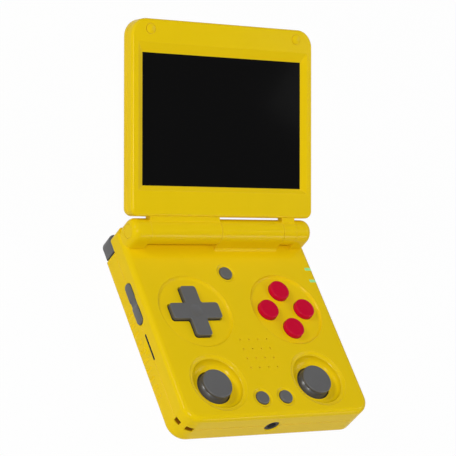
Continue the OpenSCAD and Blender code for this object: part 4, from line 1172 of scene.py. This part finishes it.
@dataclass
class RightKeys(SideKeys):
    """Power button and reset button."""

    power_y: float = 13.4
    power_length: float = 8.0
    power_height: float = 3.0
    power_round: float = 1.47
    power_edge: float = 0.35
    reset_y: float = 4.2
    reset_r: float = 1.2
    reset_edge: float = 0.3
    reset_dome: float = 0.05
    reset_dome_r: float = 0.7
    reset_sunk: float = 0.2
    reset_flange_r: float = 2.0

    def build(self) -> None:
        """Models the two keys."""
        y, length, height = self.power_y, self.power_length, self.power_height
        inner, outer = self.half_width - self.wall - self.flange_gap, self.half_width + self.proud
        low = inner - self.flange_t
        key = self.plate("power_key", y, length, height, low, outer, self.power_round)
        bevel(key, lambda e: lies_at(e, Axis.X, outer), self.power_edge)
        place_piece(join(key, self.flange(y, length, height, low)), GREY,
                    "power_button", "power_button")
        tip, edge = self.half_width - self.reset_sunk, self.reset_edge
        pin = lathe("reset_pin", [
            (0, tip), (self.reset_dome_r, tip - self.reset_dome),
            *arc(self.reset_r - edge, tip - self.reset_dome - edge, edge, 80, 0, 4),
            (self.reset_r, inner), (self.reset_flange_r, inner),
            (self.reset_flange_r, low), (0, low)], Axis.X, 40)
        place_piece(move(pin, 0, self.reset_y, self.z), GREY, "reset_button",
                    "reset_button")


@dataclass
class VolumeRocker(SideKeys):
    """Volume rocker: one long key that is hollowed and narrowed between its lobes."""

    y: float = 12.4
    length: float = 18.4
    height: float = 3.9
    round_r: float = 1.93
    edge: float = 0.4
    dip: float = 0.45
    dip_r: float = 5.0
    waist_r: float = 4.0
    waist_in: float = 0.35
    key_in: float = 0.95
    flange_in: float = 0.65
    ring_in: float = 1.5
    ring_r: float = 1.3
    ring_bore: float = 0.65

    def build(self) -> None:
        """Models the rocker."""
        outer, half = -self.half_width - self.proud, self.height / 2
        wall_in = -self.half_width + self.wall
        key = self.plate("volume_key", self.y, self.length, self.height, outer,
                         wall_in + self.key_in, self.round_r)
        bevel(key, lambda e: lies_at(e, Axis.X, outer), self.edge, 4)
        combine(key, cutter(self.dip_r, (outer + self.dip - self.dip_r, self.y, self.z),
                            2 * self.height))
        waist = lathe("waist", [(0, outer - PAST), (self.waist_r, outer - PAST),
                                (self.waist_r, -self.half_width), (0, -self.half_width)],
                      Axis.X, 96)
        for s in (-1, 1):
            combine(key, move(copy_of(waist, "waist"), 0, self.y,
                              self.z + s * (half + self.waist_r - self.waist_in)))
        bpy.data.objects.remove(waist)
        flange = self.flange(self.y, self.length, self.height, wall_in + self.flange_in)
        ring = lathe("ring", [(self.ring_bore, self.z - half), (self.ring_r, self.z - half),
                              (self.ring_r, self.z + half), (self.ring_bore, self.z + half),
                              (self.ring_bore, self.z - half)], steps=32)
        move(ring, wall_in + self.ring_in, self.y, 0)
        place_piece(join(key, flange, ring), GREY, "volume_rocker",
                    "volume_rocker")


@dataclass
class Shoulders:
    """Shoulder buttons in the rear corners and the triggers beside them."""

    front: float = 37.82
    rear: float = 46.05
    low: float = 1.4
    top: float = 8.3
    outer: float = 43.75
    inner: float = 27.65
    trigger_outer: float = 27.0
    trigger_inner: float = 13.4
    corner: float = 3.2
    edge: float = 0.8
    end_edge: float = 0.2
    pin_r: float = 0.85
    pin_y: float = 39.22
    pin_in: float = 1.5
    pin_length: float = 20.0

    def build(self) -> None:
        """Models the right-hand keys and their mirrored copies."""
        self.build_pair("shoulder", self.inner, self.outer, True)
        self.build_pair("trigger", self.trigger_inner, self.trigger_outer, False)

    def build_pair(self, kind: str, x0: float, x1: float, rounded: bool) -> None:
        """Models one key on the right and its mirrored copy on the left.

        Args:
            kind: What the keys are called after their side; the CAD nodes and bodies are too.
            x0: Distance of its inner end from the middle.
            x1: Distance of its outer end from the middle.
            rounded: Whether its outer rear corner is rounded in plan.
        """
        right = block(f"right_{kind}_key", (x0, self.front, self.low), (x1, self.rear, self.top))
        if rounded:
            bevel(right, lambda e: runs_along(e, Axis.Z) and lies_at(e, Axis.X, x1)
                  and lies_at(e, Axis.Y, self.rear), self.corner, 10)
        bevel(right, lambda e: (lies_at(e, Axis.Z, self.low) or lies_at(e, Axis.Z, self.top))
              and not lies_at(e, Axis.Y, self.front) and not lies_at(e, Axis.X, x0),
              self.edge, 5)
        bevel(right, lambda e: runs_along(e, Axis.Z) and lies_at(e, Axis.X, x0),
              self.end_edge, 2)
        combine(right, cutter(self.pin_r, (x0 + self.pin_in, self.pin_y, self.low),
                              self.pin_length))
        for side, key in (("left", copy_of(right, f"left_{kind}_key", mirrored=True)),
                          ("right", right)):
            place_piece(key, GREY, f"{side}_{kind}", f"{side}_{kind}")


@dataclass
class Controls:
    """Everything the player presses or tilts."""

    def build(self) -> None:
        """Models the controls and dresses the pivot ball."""
        dress(STEEL, "dpad_pivot_ball")
        for group in (Pad(), Buttons(), Thumbsticks(), VolumeRocker(), RightKeys(), Shoulders()):
            group.build()


# ---- studio


@dataclass(frozen=True)
class SoftLight:
    """Soft square light, with its side in metres and its power in watts."""

    name: str
    place: tuple
    side: float
    power: float

    def build(self, aim: Sequence[float]) -> None:
        """Adds the light.

        Args:
            aim: Point that it shines at.
        """
        data = bpy.data.lights.new(self.name, "AREA")
        data.size, data.energy = self.side, self.power
        light = bpy.data.objects.new(self.name, data)
        bpy.context.scene.collection.objects.link(light)
        light.location = self.place
        way = Vector(aim) - Vector(self.place)
        light.rotation_euler = way.to_track_quat("-Z", "Y").to_euler()


@dataclass
class Studio:
    """Floor, lights, world and camera."""

    floor_size: float = 6.0
    floor_colour: tuple = (0.85, 0.85, 0.85, 1.0)
    floor_roughness: float = 0.8
    floor_white: float = 0.97
    camera_place: tuple = (-0.463067, -0.34604, 0.560678)
    right: tuple = (0.8174, -0.3270, 0.4742)
    up: tuple = (-0.00832, 0.81642, 0.57739)
    lens: float = 159.38
    sensor: float = 36.0
    clip: tuple = (0.05, 20.0)
    ambient: float = 0.04
    backdrop: tuple = (0.8, 0.8, 0.8, 1.0)
    lights: Sequence[SoftLight] = (
        SoftLight("key", (-0.9, -0.7, 1.25), 0.35, 14.2),
        SoftLight("left", (-1.25, 0.45, 0.85), 0.4, 6.6),
        SoftLight("top", (0.1, 0.3, 1.6), 0.6, 2.0),
        SoftLight("right", (1.4, -0.3, 1.0), 0.8, 6.5),
        SoftLight("front", (0.9, -1.2, 0.36), 0.3, 2.4),
    )
    aim: tuple = (0.0, 0.0, 0.02)

    def build(self) -> None:
        """Makes the studio."""
        self.make_floor()
        self.make_world()
        for light in self.lights:
            light.build(self.aim)
        self.make_camera()
        bpy.context.scene.view_settings.view_transform = "Standard"

    def seen(self, net: Wiring) -> NodeSocket:
        """Finds the rays that see the background: the camera's, reflected and passing ones.

        Args:
            net: Tree that the nodes go into.

        Returns:
            Socket that is 1 for those rays.
        """
        rays = net.add("LightPath", {}).outputs
        seen = net.math("MAXIMUM", rays["Is Camera Ray"], rays["Is Glossy Ray"])
        return net.math("MAXIMUM", seen, rays["Is Transmission Ray"])

    def make_floor(self) -> None:
        """Adds the pale floor, which is white to the rays that see it but for its shadow."""
        bpy.ops.object.select_all(action="DESELECT")
        bpy.ops.mesh.primitive_plane_add(size=self.floor_size, location=ORIGIN)
        floor = bpy.context.active_object
        floor.name = "floor"
        canvas = start_material("pale_floor")
        canvas.shade({"Base Color": self.floor_colour, "Roughness": self.floor_roughness})
        share = canvas.math("MULTIPLY", self.seen(canvas), self.floor_white)
        white = canvas.add("Emission", {"Strength": 1.0})
        mix = canvas.add("MixShader", {"Fac": share, 1: canvas.shader.outputs["BSDF"],
                                       2: white.outputs["Emission"]})
        canvas.feed(canvas.out, {"Surface": mix.outputs["Shader"]})
        floor.data.materials.append(canvas.material)

    def make_world(self) -> None:
        """Sets a faint even world that is pale to the rays that see it."""
        world = bpy.data.worlds.new("studio_world")
        bpy.context.scene.world = world
        world.use_nodes = True
        world.node_tree.nodes.clear()
        net = Wiring(world.node_tree)
        ambient = net.add("Background", {"Color": (1.0, 1.0, 1.0, 1.0),
                                         "Strength": self.ambient})
        backdrop = net.add("Background", {"Color": self.backdrop, "Strength": 1.0})
        mix = net.add("MixShader", {"Fac": self.seen(net), 1: ambient.outputs["Background"],
                                    2: backdrop.outputs["Background"]})
        net.add("OutputWorld", {"Surface": mix.outputs["Shader"]})

    def make_camera(self) -> None:
        """Adds the camera at the photograph's place and angle."""
        data = bpy.data.cameras.new("camera")
        data.lens, data.sensor_width = self.lens, self.sensor
        data.clip_start, data.clip_end = self.clip
        camera = bpy.data.objects.new("camera", data)
        bpy.context.scene.collection.objects.link(camera)
        right, up = Vector(self.right).normalized(), Vector(self.up).normalized()
        turn = Matrix((right, up, right.cross(up))).transposed().to_4x4()
        camera.matrix_world = Matrix.Translation(self.camera_place) @ turn
        bpy.context.scene.camera = camera


def main() -> None:
    """Builds the sub-assemblies in order."""
    logging.basicConfig(level=logging.INFO, format="%(name)s: %(message)s")
    for part in (Lid(), Base(), Controls(), Studio()):
        part.build()
        LOG.info("built %s", type(part).__name__)


if __name__ == "__main__":
    main()
